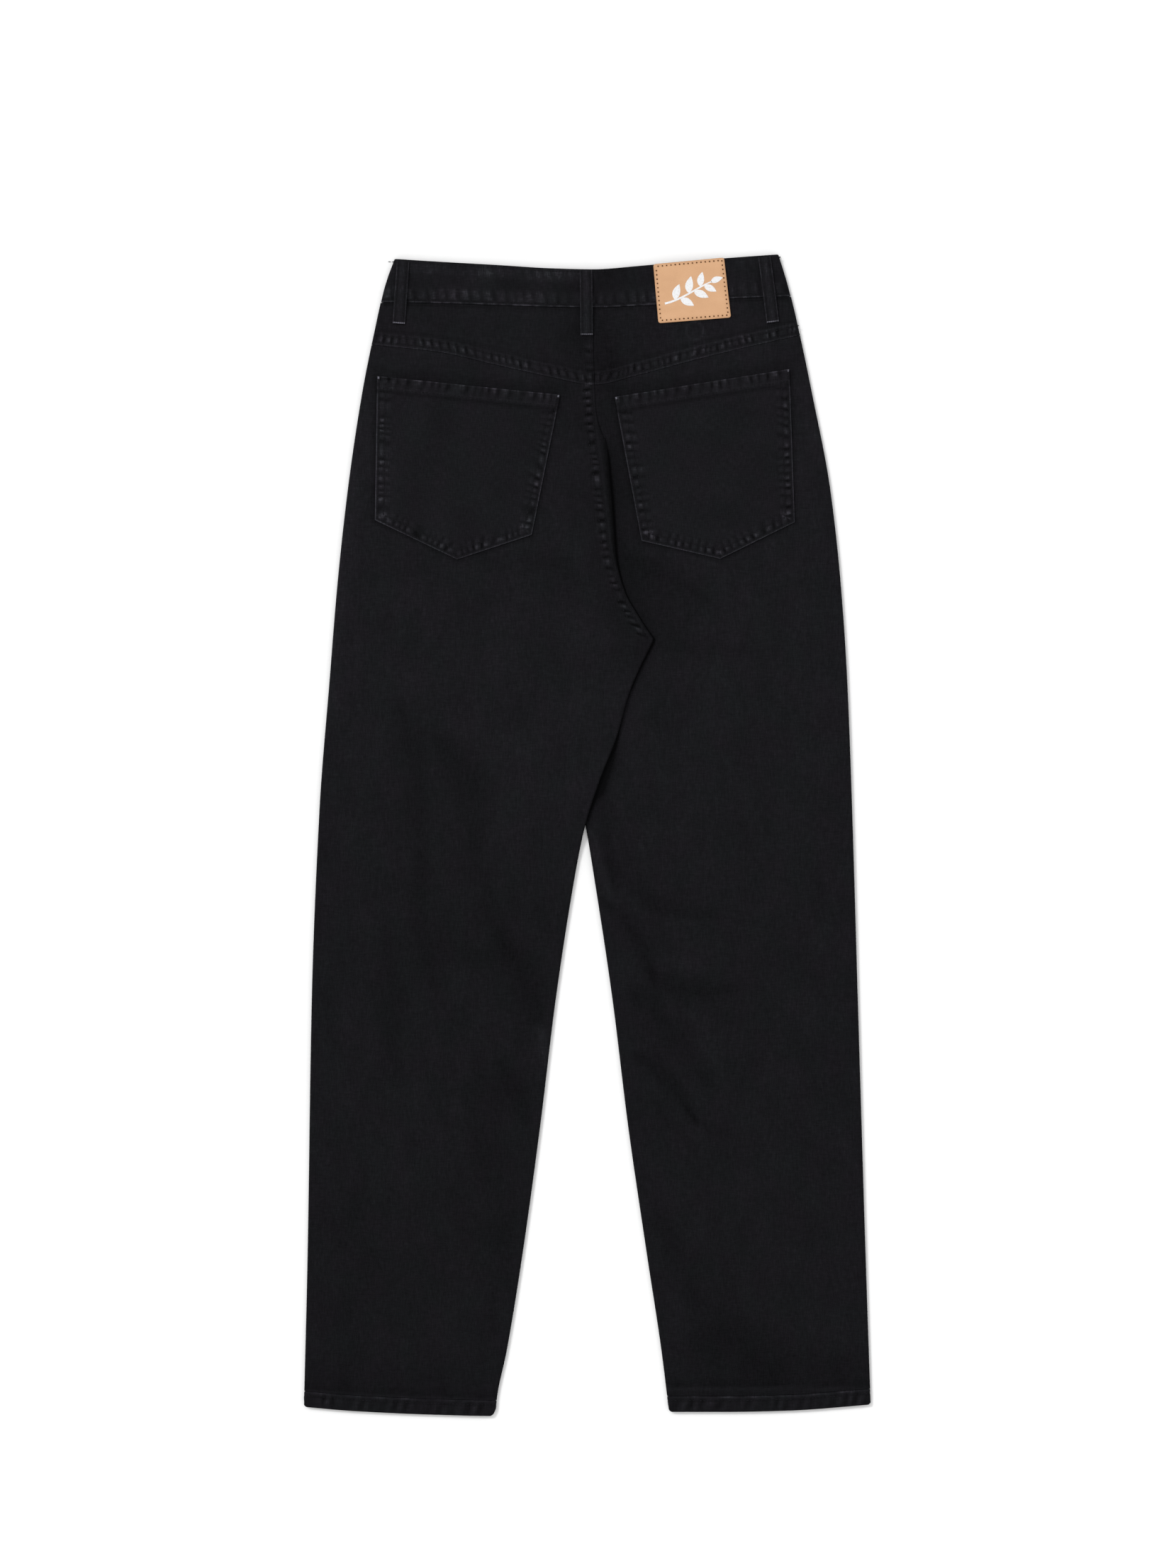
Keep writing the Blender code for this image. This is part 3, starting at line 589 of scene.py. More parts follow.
def swell(x, y, length, seed, count=10):
    """Soft, uneven waves of about this length. Their mean height is about 1."""
    draw = np.random.default_rng(seed)
    total = np.zeros(np.broadcast(x, y).shape)
    for _ in range(count):
        angle, phase = draw.uniform(0, 2 * math.pi, 2)
        step = 2 * math.pi / (length * draw.uniform(0.7, 1.6))
        total = total + np.cos(step * (x * math.cos(angle) + y * math.sin(angle)) + phase)
    return total / math.sqrt(count / 2)


def folds(tab, x, y):
    """The sum of all soft folds at these points. Each fades towards its ends."""
    t = np.linspace(0, 1, 17)
    a, b, c = (1 - t) ** 2, 2 * t * (1 - t), t * t
    fade = 1 + 1.2 * np.abs(2 * t - 1) ** 3
    total = np.zeros(np.shape(x))
    for x1, y1, x2, y2, x3, y3, width, height in zip(*tab.values()):
        px, py = a * x1 + b * x2 + c * x3, a * y1 + b * y2 + c * y3
        far = np.hypot(np.subtract.outer(x, px), np.subtract.outer(y, py)) * fade
        total = total + height * pulse(far.min(axis=-1), width)
    return total


def slack(large, small, x, y):
    """All that stirs the flat cloth: the large folds, the small creases and a soft unevenness."""
    uneven = 0.08 * swell(x, y, 75, 7) + 0.04 * swell(x, y, 26, 9)
    return FOLD_DEPTH * folds(large, x, y) + CREASE_DEPTH * folds(small, x, y) + uneven


def fold_tone(large, small, x, y):
    """How much darker a trough's cloth is, as painted shade, and how much lighter a ridge's, as wear."""
    return FOLD_WEAR_AND_SHADE * folds(large, x, y) + CREASE_WEAR_AND_SHADE * folds(small, x, y)


# Outlines of pieces that are sewn on


def unit(vectors):
    return vectors / np.linalg.norm(vectors, axis=-1, keepdims=True)


def quarter(vectors):
    """Each vector turned a quarter to the left."""
    return np.stack([-vectors[..., 1], vectors[..., 0]], axis=-1)


def edge_ways(corners):
    """The direction of the edge that starts at each corner of an outline."""
    return unit(np.roll(corners, -1, axis=0) - corners)


def inset(corners, distances):
    """The corners of a convex outline, clockwise, with each edge moved in by its distance."""
    along = edge_ways(corners)
    base = corners - quarter(along) * np.array(distances, float)[:, None]
    out = []
    for k in range(len(corners)):
        cross = along[k - 1][0] * along[k][1] - along[k - 1][1] * along[k][0]
        gap = base[k] - base[k - 1]
        t = (gap[0] * along[k][1] - gap[1] * along[k][0]) / cross
        out.append(base[k - 1] + t * along[k - 1])
    return np.array(out)


def edge_places(corners, x, y):
    """For each point, its distance in from each edge of a clockwise outline, and its way along it."""
    along = edge_ways(corners)
    dx, dy = x[..., None] - corners[:, 0], y[..., None] - corners[:, 1]
    return dx * along[:, 1] - dy * along[:, 0], dx * along[:, 0] + dy * along[:, 1]


# Heights of the layers


def lap_share(x, y):
    """From 0 to 1 across the ramp where the left half climbs on to the right one."""
    return ease((x - lap_start(y)) / LAP_RAMP)


def left_free(y):
    """From 0 to 1 down the left leg, where its inner edge lies free."""
    return ease((LEFT_FREE_Y - y) / LEFT_FREE_RAMP)


def left_inner_height(y):
    """The top of the left half's inner fold. It puffs up where the leg's edge lies free."""
    middle = middle_height(y)
    return middle + lap_lift(y) + left_free(y) * (edge_height(y) - middle)


def right_inner_height(y):
    """The top of the right leg's inner fold, pressed flat where it is hidden."""
    return HIDDEN_FOLD_TOP + (edge_height(y) - HIDDEN_FOLD_TOP) * ease((14 - y) / 40)


def loft(y, from_outer, from_inner, free):
    """The height of a leg without its creases. It puffs up beside its free edges."""
    puff = np.exp(-from_outer / PUFF_REACH) + free * np.exp(-from_inner / PUFF_REACH)
    middle = middle_height(y)
    return middle + (edge_height(y) - middle) * puff


def left_top(x, y):
    """The height of the left half's top layer."""
    from_outer, from_inner = np.maximum(x - left_outer(y), 0), np.maximum(left_inner(y) - x, 0)
    calm = ease(from_outer / CALM_REACH) * ease(from_inner / CALM_REACH)
    base = loft(y, from_outer, from_inner, left_free(y))
    return base + lap_lift(y) * lap_share(x, y) + calm * slack(LEFT_FOLDS, LEFT_CREASES, x, y)


def right_top(x, y):
    """The height of the right half's top layer, which sinks beside and under the left half."""
    from_outer, from_inner = np.maximum(right_outer(y) - x, 0), np.maximum(x - right_inner(y), 0)
    free = ease((RIGHT_FREE_Y - y) / RIGHT_FREE_RAMP)
    calm = ease(from_outer / CALM_REACH) * (1 - free * (1 - ease(from_inner / CALM_REACH)))
    height = loft(y, from_outer, from_inner, free) + calm * slack(RIGHT_FOLDS, RIGHT_CREASES, x, y)
    sunk = sink_share(y) * (1 - ease((x - left_inner(y) - 1) / SINK_RAMP))
    near_fold = ease((200 - y) / 40) * ease((20 - from_inner) / 20)
    floor = TUCKED_LAYER + (HIDDEN_FOLD_TOP - TUCKED_LAYER) * near_fold
    return height * (1 - sunk) + floor * sunk


def left_face(x, y):
    return left_top(x, y) + CLOTH / 2


def right_face(x, y):
    return right_top(x, y) + CLOTH / 2


def front_drop(x):
    """How far the front of the waist lies below its back."""
    return FRONT_DROP * np.clip(1 - (x / 160) ** 2, 0, 1)


def band_height(x, y=None):
    """The height of the waistband's back, highest over the lapped ends of its front."""
    return BAND_SIDE + (BAND_MIDDLE - BAND_SIDE) * ease((110 - np.abs(x)) / 60)


def waist_face(x, y):
    """The upper face of the waistband, and of the yoke below its seam."""
    band_top = band_height(x) + BAND_CLOTH / 2
    panel = np.where(x < left_inner(y), left_face(x, y), right_face(x, y))
    return panel + (band_top - panel) * ease((y - waist_seam(x) + 9) / 8)


# Grids of points


def turn(edge, top, low, side, inset, cloth=CLOTH):
    """Columns of an edge that turns under, from the end on the underside to the top layer.

    side is -1 for an edge on the left and 1 for one on the right. inset is how far the end lies in.
    """

    def radius(y):
        return (top(y) - low(y)) / 2

    def bend(y):
        return edge(y) - side * (cloth / 2 + radius(y))

    def on_arc(angle):
        return (
            lambda y: bend(y) + side * radius(y) * math.sin(angle),
            lambda x, y: low(y) + radius(y) * (1 - math.cos(angle)),
        )

    arcs = [on_arc(math.pi * k / (TURN_STEPS + 1)) for k in range(TURN_STEPS + 2)]
    return [(lambda y: edge(y) - side * inset, lambda x, y: low(y))] * (inset > 0) + arcs


def end_of(columns):
    """The x of the last column of a turn: where its top layer starts."""
    return columns[-1][0]


def between(start, end, shares, height):
    """Columns of the top layer at these shares of the way from start to end."""
    return [(lambda y, s=s: start(y) + s * (end(y) - start(y)), height) for s in shares]


def inner_shares(count):
    """Even shares of the way from one end to the other, without the ends."""
    return np.arange(1, count) / count


def later_shares(count):
    """The same shares, with the last end."""
    return np.arange(1, count + 1) / count


def sweep(row_y, rows, columns):
    """The points where each row, a y for each x, meets each column, an x for each y."""
    points = np.zeros((len(rows), len(columns), 3))
    for j, (column_x, height) in enumerate(columns):
        y = row_y(np.zeros(len(rows)), rows)
        for _ in range(SWEEP_ROUNDS):
            x = column_x(y)
            y = row_y(x, rows)
        points[:, j] = np.stack([x, y, height(x, y)], axis=1)
    return points


def left_turns():
    """The outer and the inner turn of the left half."""
    outer = turn(left_outer, edge_height, floor_height, -1, OUTER_RETURN)
    return outer, turn(left_inner, left_inner_height, low_height, 1, INNER_RETURN)


def right_turns():
    """The outer and the inner turn of the right half."""
    outer = turn(right_outer, edge_height, floor_height, 1, OUTER_RETURN)
    return outer, turn(right_inner, right_inner_height, floor_height, -1, INNER_RETURN)


def tilt_down(x, rows):
    """How far the last rows of a leg move, to run along its hem."""
    share = np.clip((ROWS_TILT_BELOW - rows) / (ROWS_TILT_BELOW - LEG_BOTTOM), 0, 1)
    return share * (hem_end(x) + HEM_HEIGHT + SEAM_GAP - LEG_BOTTOM)


def leg_rows():
    """The rows of a back leg, closest in the seat."""
    seat = np.linspace(LEG_TOP, CROTCH_Y, int((LEG_TOP - CROTCH_Y) / SEAT_STEP) + 1)
    lower = np.linspace(CROTCH_Y, LEG_BOTTOM, int((CROTCH_Y - LEG_BOTTOM) / ROW_STEP) + 1)
    return np.concatenate([seat, lower[1:]])


LEG_ROWS = leg_rows()
FRONT_ROWS = np.linspace(FRONT_TOP, LEG_BOTTOM, int((FRONT_TOP - LEG_BOTTOM) / FRONT_STEP) + 1)


def leg_row(x, rows):
    """The y of a leg's rows, which start along the yoke and end along the hem."""
    share = np.clip((rows - ROWS_TILT_ABOVE) / (LEG_TOP - ROWS_TILT_ABOVE), 0, 1)
    up = share * (yoke_edge(x) - SEAM_GAP - LEG_TOP)
    return rows + up + tilt_down(x, rows)


def front_row(x, rows):
    """The y of a front panel's rows, which start along the front of the waistband."""
    share = np.clip((rows - LEG_TOP) / (FRONT_TOP - LEG_TOP), 0, 1)
    up = share * (waist_seam(x) - front_drop(x) - SEAM_GAP - FRONT_TOP)
    return rows + up + tilt_down(x, rows)


def yoke_rows():
    """A yoke's rows: a share of the depth above its lower band, or a height within the band."""
    shares = np.linspace(1, 0, 17)[:-1]
    above = np.array(BAND_STEPS[::-1])
    return np.stack([np.append(shares, 0 * above), np.append(0 * shares, above)], axis=1)


def yoke_row(x, rows):
    """The y of a yoke's rows: a share of the depth above its band, or so far above its lower edge."""
    share, above = rows[:, 0], rows[:, 1]
    low, top = yoke_edge(x), waist_seam(x) - SEAM_GAP
    start = BAND_STEPS[-1]
    return np.where(share > 0, low + start + share * (top - low - start), low + above)


def hem_row(x, rows):
    return hem_end(x) + rows


def band_row(x, rows):
    low, top = waist_seam(x), waist_top(x)
    return low + rows * (top - low)


def seat_columns():
    """The columns of the seat seam's band, which close up beside the leg's inner edge."""
    inner_end = end_of(left_turns()[1])

    def column(offset):
        room = 0.4 + 0.33 * offset
        return lambda y: np.minimum(seat_edge(y) - offset, inner_end(y) - room)

    return [(column(offset), left_top) for offset in BAND_STEPS[::-1]]


# Relief and wear


def fell_step(v):
    """The height of a felled band, v in from its near edge."""
    return FELL_RAISE * ease((FELL_WIDTH + FELL_STEP - v) / FELL_STEP)


def band(s, v, width, seed, pitch, puckers, sewn, edges, tone=0.0):
    """The relief, and the wear with painted light and shade, of a band that is sewn down: s runs along it
    and v across it.
    """
    inside = ease((width + FELL_STEP - v) / FELL_STEP) * (v > -0.01)
    shift = 0.26 * pitch * swell(s, 0 * v, 3.4 * pitch, seed)
    slant = 0.16 * swell(s, 0 * v, 9 * pitch, seed + 2)
    pucker = 0 * v
    for k, (middle, half, strength) in enumerate(puckers):
        beat = 2 * math.pi * (s + shift + slant * v + 0.12 * pitch * k) / pitch
        centre = middle + 0.15 * half * swell(s, 0 * v, 2.2 * pitch, seed + 4 + k)
        uneven = np.clip(0.9 + 0.25 * swell(s, v, 2.6 * pitch, seed + 1 + 7 * k), 0.4, 1.3)
        # Each pucker has a dark tick of painted shade, and a crest lightened by wear with a painted
        # highlight to one side
        tick = pulse(1 + np.cos(beat), 0.5)
        rib = 0.65 - 1.5 * tick + 0.45 * np.cos(beat - 0.9)
        row = rib * np.exp(-np.abs((v - centre) / half) ** 3)
        pucker = pucker + strength * row * uneven
    # Painted shade along the stitch grooves
    groove = sum(pulse(v - place, 0.8) for place in sewn)
    edge = edges[0] * pulse(v - 0.2, 0.8) + edges[1] * pulse(v - width + 0.3, 0.9)
    wear_and_shade = tone + ROPE_WEAR_AND_SHADE * pucker + edge - GROOVE_SHADE * groove
    return inside * (ROPE * pucker - GROOVE * groove), inside * wear_and_shade


def seat_marks(x, y):
    """The raised band of the seat seam on the left leg, with its puckers and two painted highlights."""
    v = seat_edge(y) - x
    relief, wear_and_shade = band(y, v, **SEAT_BAND)
    share = ease((y - CROTCH_Y) / 6)
    raised = fell_step(v) * ease((y - CROTCH_Y) / 14)
    highlights = sum(pulse(np.hypot(x - a, y - b), 5) for a, b in HIGHLIGHT_PLACES)
    return raised + relief * share, wear_and_shade * share + 0.3 * highlights


def yoke_left(x, y):
    """The left yoke's bands: one above its lower edge and one along the middle seam."""
    v, across = y - yoke_edge(x), left_inner(y) - x
    low, middle = band(x, v, **YOKE_BANDS["left"]), band(y, across, **MIDDLE_BAND)
    raised = np.maximum(fell_step(v), fell_step(across))
    # A painted shadow along the top of the lower band
    return raised + low[0] + middle[0], low[1] + middle[1] - 0.3 * pulse(v - 12.8, 1.4)


def yoke_right(x, y):
    """The right yoke's band above its lower edge, and a round mark pressed through the cloth."""
    v = y - yoke_edge(x)
    low = band(x, v, **YOKE_BANDS["right"])
    ring = pulse(np.hypot(x - RING_MARK["x"], y - RING_MARK["y"]) - RING_MARK["radius"], 1.1)
    # The ring's lighter wear, and a painted shadow along the top of the band
    wear_and_shade = low[1] + RING_MARK["wear_and_shade"] * ring - 0.3 * pulse(v - 13.4, 1.5)
    return fell_step(v) + low[0] + RING_MARK["height"] * ring, wear_and_shade


def pocket_marks(corners, seed):
    """The relief, and the wear with painted light and shade, of a pocket: two rows of puckers along its
    sewn edges, and its top hem.
    """
    turned = inset(corners, [POCKET_HEM] + [8.0] * 4)[[2, 4]]

    def marks(x, y):
        v, s = edge_places(corners, x, y)
        near = np.argmin(v[..., 1:], axis=-1)[..., None]
        side_v = np.take_along_axis(v[..., 1:], near, axis=-1)[..., 0]
        side_s = np.take_along_axis(s[..., 1:], near, axis=-1)[..., 0] + 31.0 * near[..., 0]
        side = band(side_s, side_v, seed=seed, **POCKET_SIDE)
        hem = band(s[..., 0], v[..., 0], seed=seed + 5, **POCKET_TURN)
        below = v[..., 0] - POCKET_HEM
        share = ease((below + 2) / 4)
        # A lighter line along the hem's ridge, and a painted shadow just below the hem
        line = 0.32 * pulse(below + 2.0, 1.2) - 0.36 * pulse(below - 1.2, 1.8)
        creased = sum(pulse(np.hypot(x - at[0], y - at[1]), 3.6) for at in turned)
        relief = side[0] * share + hem[0] + 0.15 * creased + FELL_RAISE * ease(1 - below / FELL_STEP)
        return relief, side[1] * share + hem[1] + line + 0.75 * creased

    return marks


def band_marks(x, y):
    """The waistband's puckers: bold ones above its lower seam, softer ones below its upper edge."""
    low, high = y - waist_seam(x), waist_top(x) - y
    bent = 1.6 * swell(x, 0 * y, 34, 23) + 0.1 * low
    beat = 2 * math.pi * (x + bent) / 9.6
    # Each lower pucker has a dark tick of painted shade, and a crest lightened by wear with a painted
    # highlight to one side
    lower = 0.5 - 1.5 * pulse(1 + np.cos(beat), 0.5) + 0.5 * np.cos(beat - 0.9)
    upper = np.cos(2 * math.pi * (x + 2.4 * swell(x, 0 * y, 38, 29) - 0.3 * high) / 8.7)
    uneven = np.clip(0.8 + 0.25 * swell(x, y, 34, 25), 0.35, 1.15)
    in_low = ease((low - 2.2) / 1.4) * ease((15 - low) / 5)
    in_high = ease((high - 0.8) / 1) * ease((14 - high) / 6)
    sewn = pulse(low - STITCH_IN, 0.8) + 0.6 * pulse(high - BAND_STITCH, GROOVE_WIDTH)
    relief = uneven * (0.26 * lower * in_low + 0.13 * upper * in_high) - GROOVE * sewn
    relief = relief - 0.25 * pulse(low - 18, 4)
    side = 0.2 - 0.1 * np.tanh(x / 8)
    wear_and_shade = uneven * (0.33 * lower * in_low + 0.14 * upper * in_high) + side * (in_low + in_high)
    dashes = np.clip(0.75 + 0.25 * swell(x, 0 * y, 8, 31), 0.2, 1.2)
    # Painted shade in the stitch grooves, a worn lighter line along the lower edge, and darker just right
    # of the middle
    wear_and_shade = wear_and_shade - 0.25 * sewn + dashes * pulse(low - 0.8, 0.8) - 0.25 * pulse(x - 18, 16) * (x > 3)
    return relief, wear_and_shade + 0.1 * swell(x, y, 45, 27)


def hem_marks(x, y):
    """The hem's slanted puckers, below a worn edge that is light in dashes."""
    up = y - hem_end(x)
    beat = 2 * math.pi * (x + 2.6 * swell(x, 0 * up, 40, 37) - 0.35 * up) / 10.2
    inside = np.sin(math.pi * np.clip((up + 1) / HEM_HEIGHT, 0, 1)) ** 0.7
    uneven = np.clip(0.85 + 0.4 * swell(x, up, 30, 41), 0.2, 1.5)
    pucker = np.tanh(1.4 * np.cos(beat)) * inside * uneven
    sewn = pulse(up - HEM_STITCH, 0.9)
    dashes = np.clip(0.5 + 0.14 * swell(x, 0 * up, 16, 43) + 0.08 * np.sign(x), 0.2, 0.9)
    # The puckers' light and dark is partly wear and partly painted light and shade; the stitch groove gets
    # painted shade
    worn_and_shaded = 0.42 * pucker + dashes * pulse(up - HEM_HEIGHT + 0.4, 1.5) - 0.3 * sewn
    return 0.3 * pucker - GROOVE * sewn, worn_and_shaded - 0.12


def leg_wear_and_shade(x, y):
    """Faint light and dark places of a leg, which is darker lower down, with a lighter line along the hem's
    top and a painted shadow of the hem just above it.
    """
    haze = 0.03 * swell(x, y, 60, 51) + 0.025 * swell(x, 0.5 * y, 20, 53)
    low = 0.13 * ease((150 - y) / 300) + 0.16 * ease((-430 - y) / 40)
    above_hem = y - hem_end(x) - HEM_HEIGHT
    return haze - low - 0.2 * pulse(above_hem - 4, 4) + 0.4 * pulse(above_hem - 0.2, 1.3)


def seat_shade(x, y):
    """The soft shade down the middle of the seat, deepest on the right of its seam."""
    beside = x - left_inner(y)
    right = 0.38 * pulse(np.maximum(beside, 0), 27) * ease((y - 90) / 150)
    left = 0.27 * pulse(np.maximum(-beside - 4, 0), 27) * ease((y - 135) / 40)
    # A painted spot of shade beside the seam, where the yoke meets the seat
    shade_spot = 0.2 * pulse(np.hypot(x - 20, y - 404), 12)
    return -np.where(beside > 0, right, left) * ease((470 - y) / 40) - shade_spot


def pocket_shade(corners, x, y):
    """The shade round a pocket: narrow beside and below it, softer above it."""
    v = edge_places(corners, x, y)[0]
    above, out = v.argmin(axis=-1) == 0, -v.min(axis=-1)
    return -np.where(above, 0.24 * pulse(out - 4, 5), 0.32 * pulse(out - 1.2, 1.9))


def left_wear_and_shade(x, y):
    """The left leg's wear and painted shade: painted shade on the strip beside the seat seam, on its fold's
    roll and beside it, and a painted highlight on the fold's edge near the crotch.
    """
    strip = ease((x - seat_edge(y) + 0.5) / 1.0) * ease((y - 222) / 20) * ease((392 - y) / 10)
    near = left_inner(y) - x
    roll = pulse(near, 0.9) * ease((y + 6) / 20) * ease((346 - y) / 16)
    shadow = pulse(near, 4.5) * ease((y - 226) / 16) * ease((344 - y) / 16)
    shine = pulse(near - 1.6, 2.4) * pulse(y - 191, 12)
    side = pulse(x - left_outer(y), 11) * ease((y - 70) / 60) * ease((400 - y) / 60)
    worn_and_shaded = leg_wear_and_shade(x, y) + fold_tone(LEFT_FOLDS, LEFT_CREASES, x, y) + seat_shade(x, y)
    worn_and_shaded = worn_and_shaded + pocket_shade(LEFT_POCKET, x, y) + 0.24 * side + 0.3 * shine
    return worn_and_shaded - 0.42 * strip - 0.45 * roll - 0.25 * shadow


def right_wear_and_shade(x, y):
    """The right leg's wear, with the deep painted shade under the left half's fold and inner edge."""
    beside = np.maximum(x - left_inner(y), 0)
    worn_and_shaded = leg_wear_and_shade(x + 400, y) + fold_tone(RIGHT_FOLDS, RIGHT_CREASES, x, y) + seat_shade(x, y)
    worn_and_shaded = worn_and_shaded + pocket_shade(RIGHT_POCKET, x, y)
    return worn_and_shaded - line_depth(y) * pulse(beside, line_width(y)) - tail_depth(y) * pulse(beside, 10)


def yoke_wear_and_shade(x, y):
    """The wear of both yokes, with painted shade along the waistband's lower seam and down the middle of
    the seat.
    """
    under_band = 0.55 * pulse(waist_seam(x) - y - 1.4, 1.4)
    return leg_wear_and_shade(x, y) - under_band + seat_shade(x, y) - 0.04


def front_lift(tab, x, y):
    """How far the creases of the front lift it off the floor."""
    return 0.45 * np.clip(-folds(tab, x, y + 20), 0, 1)


def front_wear_and_shade(tab, x, y):
    """The wear of the front, with the light and the dark line of its middle seam, and painted shade in its
    creases' troughs.
    """
    seam = (0.35 * pulse(x, 1.6) - 0.3 * pulse(x - 2.5, 1.5)) * (y > CROTCH_Y)
    return 0.05 * swell(x, y, 80, 61) + 0.25 * folds(tab, x, y + 20) + seam - 0.1 * ease((150 - y) / 300)


# Shells


def normals_of(points, closed):
    """Unit normals out of the cloth, which lie in the plane of its end rows."""
    wide = np.concatenate([points[:, -1:], points, points[:, :1]], axis=1) if closed else points
    normals = np.cross(np.gradient(wide, axis=0), np.gradient(wide, axis=1))
    normals = normals[:, 1:-1] if closed else normals
    normals[[0, -1], :, 1] = 0
    return unit(normals)


def shell(name, points, raised=0.0, wear_and_shade=0.0, keep=None, cloth=CLOTH, closed=False):
    """A closed wall of cloth round a grid of middle points, with its wear and painted shade on its points.

    keep leaves out cells of the grid. closed joins the last column to the first.
    """
    rows, columns = points.shape[:2]
    normals = normals_of(points, closed)
    lift, thick, worn_and_shaded = (np.broadcast_to(value, (rows, columns)) for value in (raised, cloth, wear_and_shade))
    half = thick[..., None] / 2
    outer, inner = points + normals * (half + lift[..., None]), points - normals * half
    index = np.arange(rows * columns).reshape(rows, columns)
    wide = np.concatenate([index, index[:, :1]], axis=1) if closed else index
    cells = np.stack([wide[:-1, :-1], wide[1:, :-1], wide[1:, 1:], wide[:-1, 1:]], axis=-1)
    cells = cells[keep] if keep is not None else cells.reshape(-1, 4)
    count = rows * columns
    edges = np.concatenate([cells[:, [k, (k + 1) % 4]] for k in range(4)])
    forward, back = edges[:, 0] * count + edges[:, 1], edges[:, 1] * count + edges[:, 0]
    rim = edges[~np.isin(forward, back)]
    sides = np.stack([rim[:, 1], rim[:, 0], rim[:, 0] + count, rim[:, 1] + count], axis=1)
    used, faces = np.unique(np.concatenate([cells, cells[:, ::-1] + count, sides]), return_inverse=True)
    ends = np.concatenate([outer.reshape(-1, 3), inner.reshape(-1, 3)])
    return mesh_piece(name, ends[used], faces.reshape(-1, 4).tolist(), np.tile(worn_and_shaded.reshape(-1), 2)[used])


def mesh_piece(name, points, faces, wear_and_shade=None):
    """An object from points in millimetres. Its wear and painted shade are kept as an attribute of its
    points.
    """
    mesh = bpy.data.meshes.new(name)
    mesh.from_pydata(((points + ORIGIN_SHIFT) * MM).tolist(), [], faces)
    mesh.update()
    mesh.shade_smooth()
    mesh.set_sharp_from_angle(angle=math.radians(50))
    if wear_and_shade is not None:
        worn_and_shaded = mesh.attributes.new("wear_and_shade", "FLOAT", "POINT")
        worn_and_shaded.data.foreach_set("value", np.asarray(wear_and_shade, np.float32))
    made = bpy.data.objects.new(name, mesh)
    bpy.context.scene.collection.objects.link(made)
    return made


def rounded(distance, cloth):
    """The thickness of a wall near a free edge, which is rounded off."""
    return cloth * (EDGE_SHARE + (1 - EDGE_SHARE) * np.sqrt(np.clip(distance / EDGE_ROUND, 0, 1)))


def xy_of(points):
    return points[..., 0], points[..., 1]


def only(points, first, last, marks):
    """The relief, and the wear with painted shade, of the columns from first up to last, and none on the
    others.
    """
    relief, wear_and_shade = np.zeros(points.shape[:2]), np.zeros(points.shape[:2])
    relief[:, first:last], wear_and_shade[:, first:last] = marks(*xy_of(points[:, first:last]))
    return relief, wear_and_shade


def all_cells(rows, columns):
    return np.ones((len(rows) - 1, len(columns) - 1), bool)


def make_back_leg_left():
    outer, inner = left_turns()
    seam = seat_columns()
    tops = between(end_of(outer), seam[0][0], inner_shares(LEFT_COLUMNS), left_top)
    columns = outer + tops + seam + inner[::-1]
    points = sweep(leg_row, LEG_ROWS, columns)
    keep = all_cells(LEG_ROWS, columns)
    keep[LEG_ROWS[:-1] > PLEAT_Y, len(columns) - len(inner) :] = False
    relief, wear_and_shade = only(points, len(outer), len(columns) - len(inner), seat_marks)
    return shell("cloth_back_leg_left", points, relief, wear_and_shade + left_wear_and_shade(*xy_of(points)), keep)


def make_back_leg_right():
    outer, inner = right_turns()
    left_end, fold_bend = end_of(left_turns()[1]), end_of(inner)

    def start(y):
        tucked = np.where(y > PLEAT_Y + 4, left_end(y) + SEAM_GAP, tuck_start(y))
        return np.where(y > CROTCH_Y, tucked, fold_bend(y))

    def shown(y):
        return np.maximum(left_inner(y) - 2.6, start(y) + 3.2)

    inner[-1] = (start, lambda x, y: np.where(y > CROTCH_Y, right_top(x, y), right_inner_height(y)))
    hidden = between(start, shown, later_shares(HIDDEN_COLUMNS), right_top)
    shaded = [(lambda y, step=step: shown(y) + step, right_top) for step in SHADED_STEPS]
    rest = between(shaded[-1][0], end_of(outer), inner_shares(RIGHT_COLUMNS), right_top)
    columns = inner + hidden + shaded + rest + outer[::-1]
    points = sweep(leg_row, LEG_ROWS, columns)
    keep = all_cells(LEG_ROWS, columns)
    keep[LEG_ROWS[:-1] > CROTCH_Y, : len(inner) - 1] = False
    return shell("cloth_back_leg_right", points, 0, right_wear_and_shade(*xy_of(points)), keep)


def make_yoke(side, columns, first, last, marks):
    """A yoke, with its marks on the columns from first up to last."""

    def all_marks(x, y):
        relief, wear_and_shade = marks(x, y)
        return relief, wear_and_shade + yoke_wear_and_shade(x, y)

    points = sweep(yoke_row, yoke_rows(), columns)
    relief, wear_and_shade = only(points, first, last, all_marks)
    return shell("cloth_yoke_" + side, points, relief, wear_and_shade)


def make_yokes():
    outer, inner = left_turns()
    seam = end_of(inner)
    shares = inner_shares(YOKE_COLUMNS)
    tops = between(end_of(outer), lambda y: seam(y) - BAND_STEPS[-1], shares, left_top)
    middle = [(lambda y, step=step: seam(y) - step, left_top) for step in BAND_STEPS[::-1]]
    columns = outer + tops + middle
    left = make_yoke("left", columns, len(outer), len(columns), yoke_left)
    outer = right_turns()[0]
    tops = between(lambda y: seam(y) + SEAM_GAP, end_of(outer), np.append(0, shares), right_top)
    return left, make_yoke("right", tops + outer[::-1], 0, len(tops), yoke_right)


def ramp_height(x, y):
    """The left front lies on the floor, then climbs over the right leg."""
    return FLOOR_LAYER + (low_height(y) - FLOOR_LAYER) * lap_share(x, y)


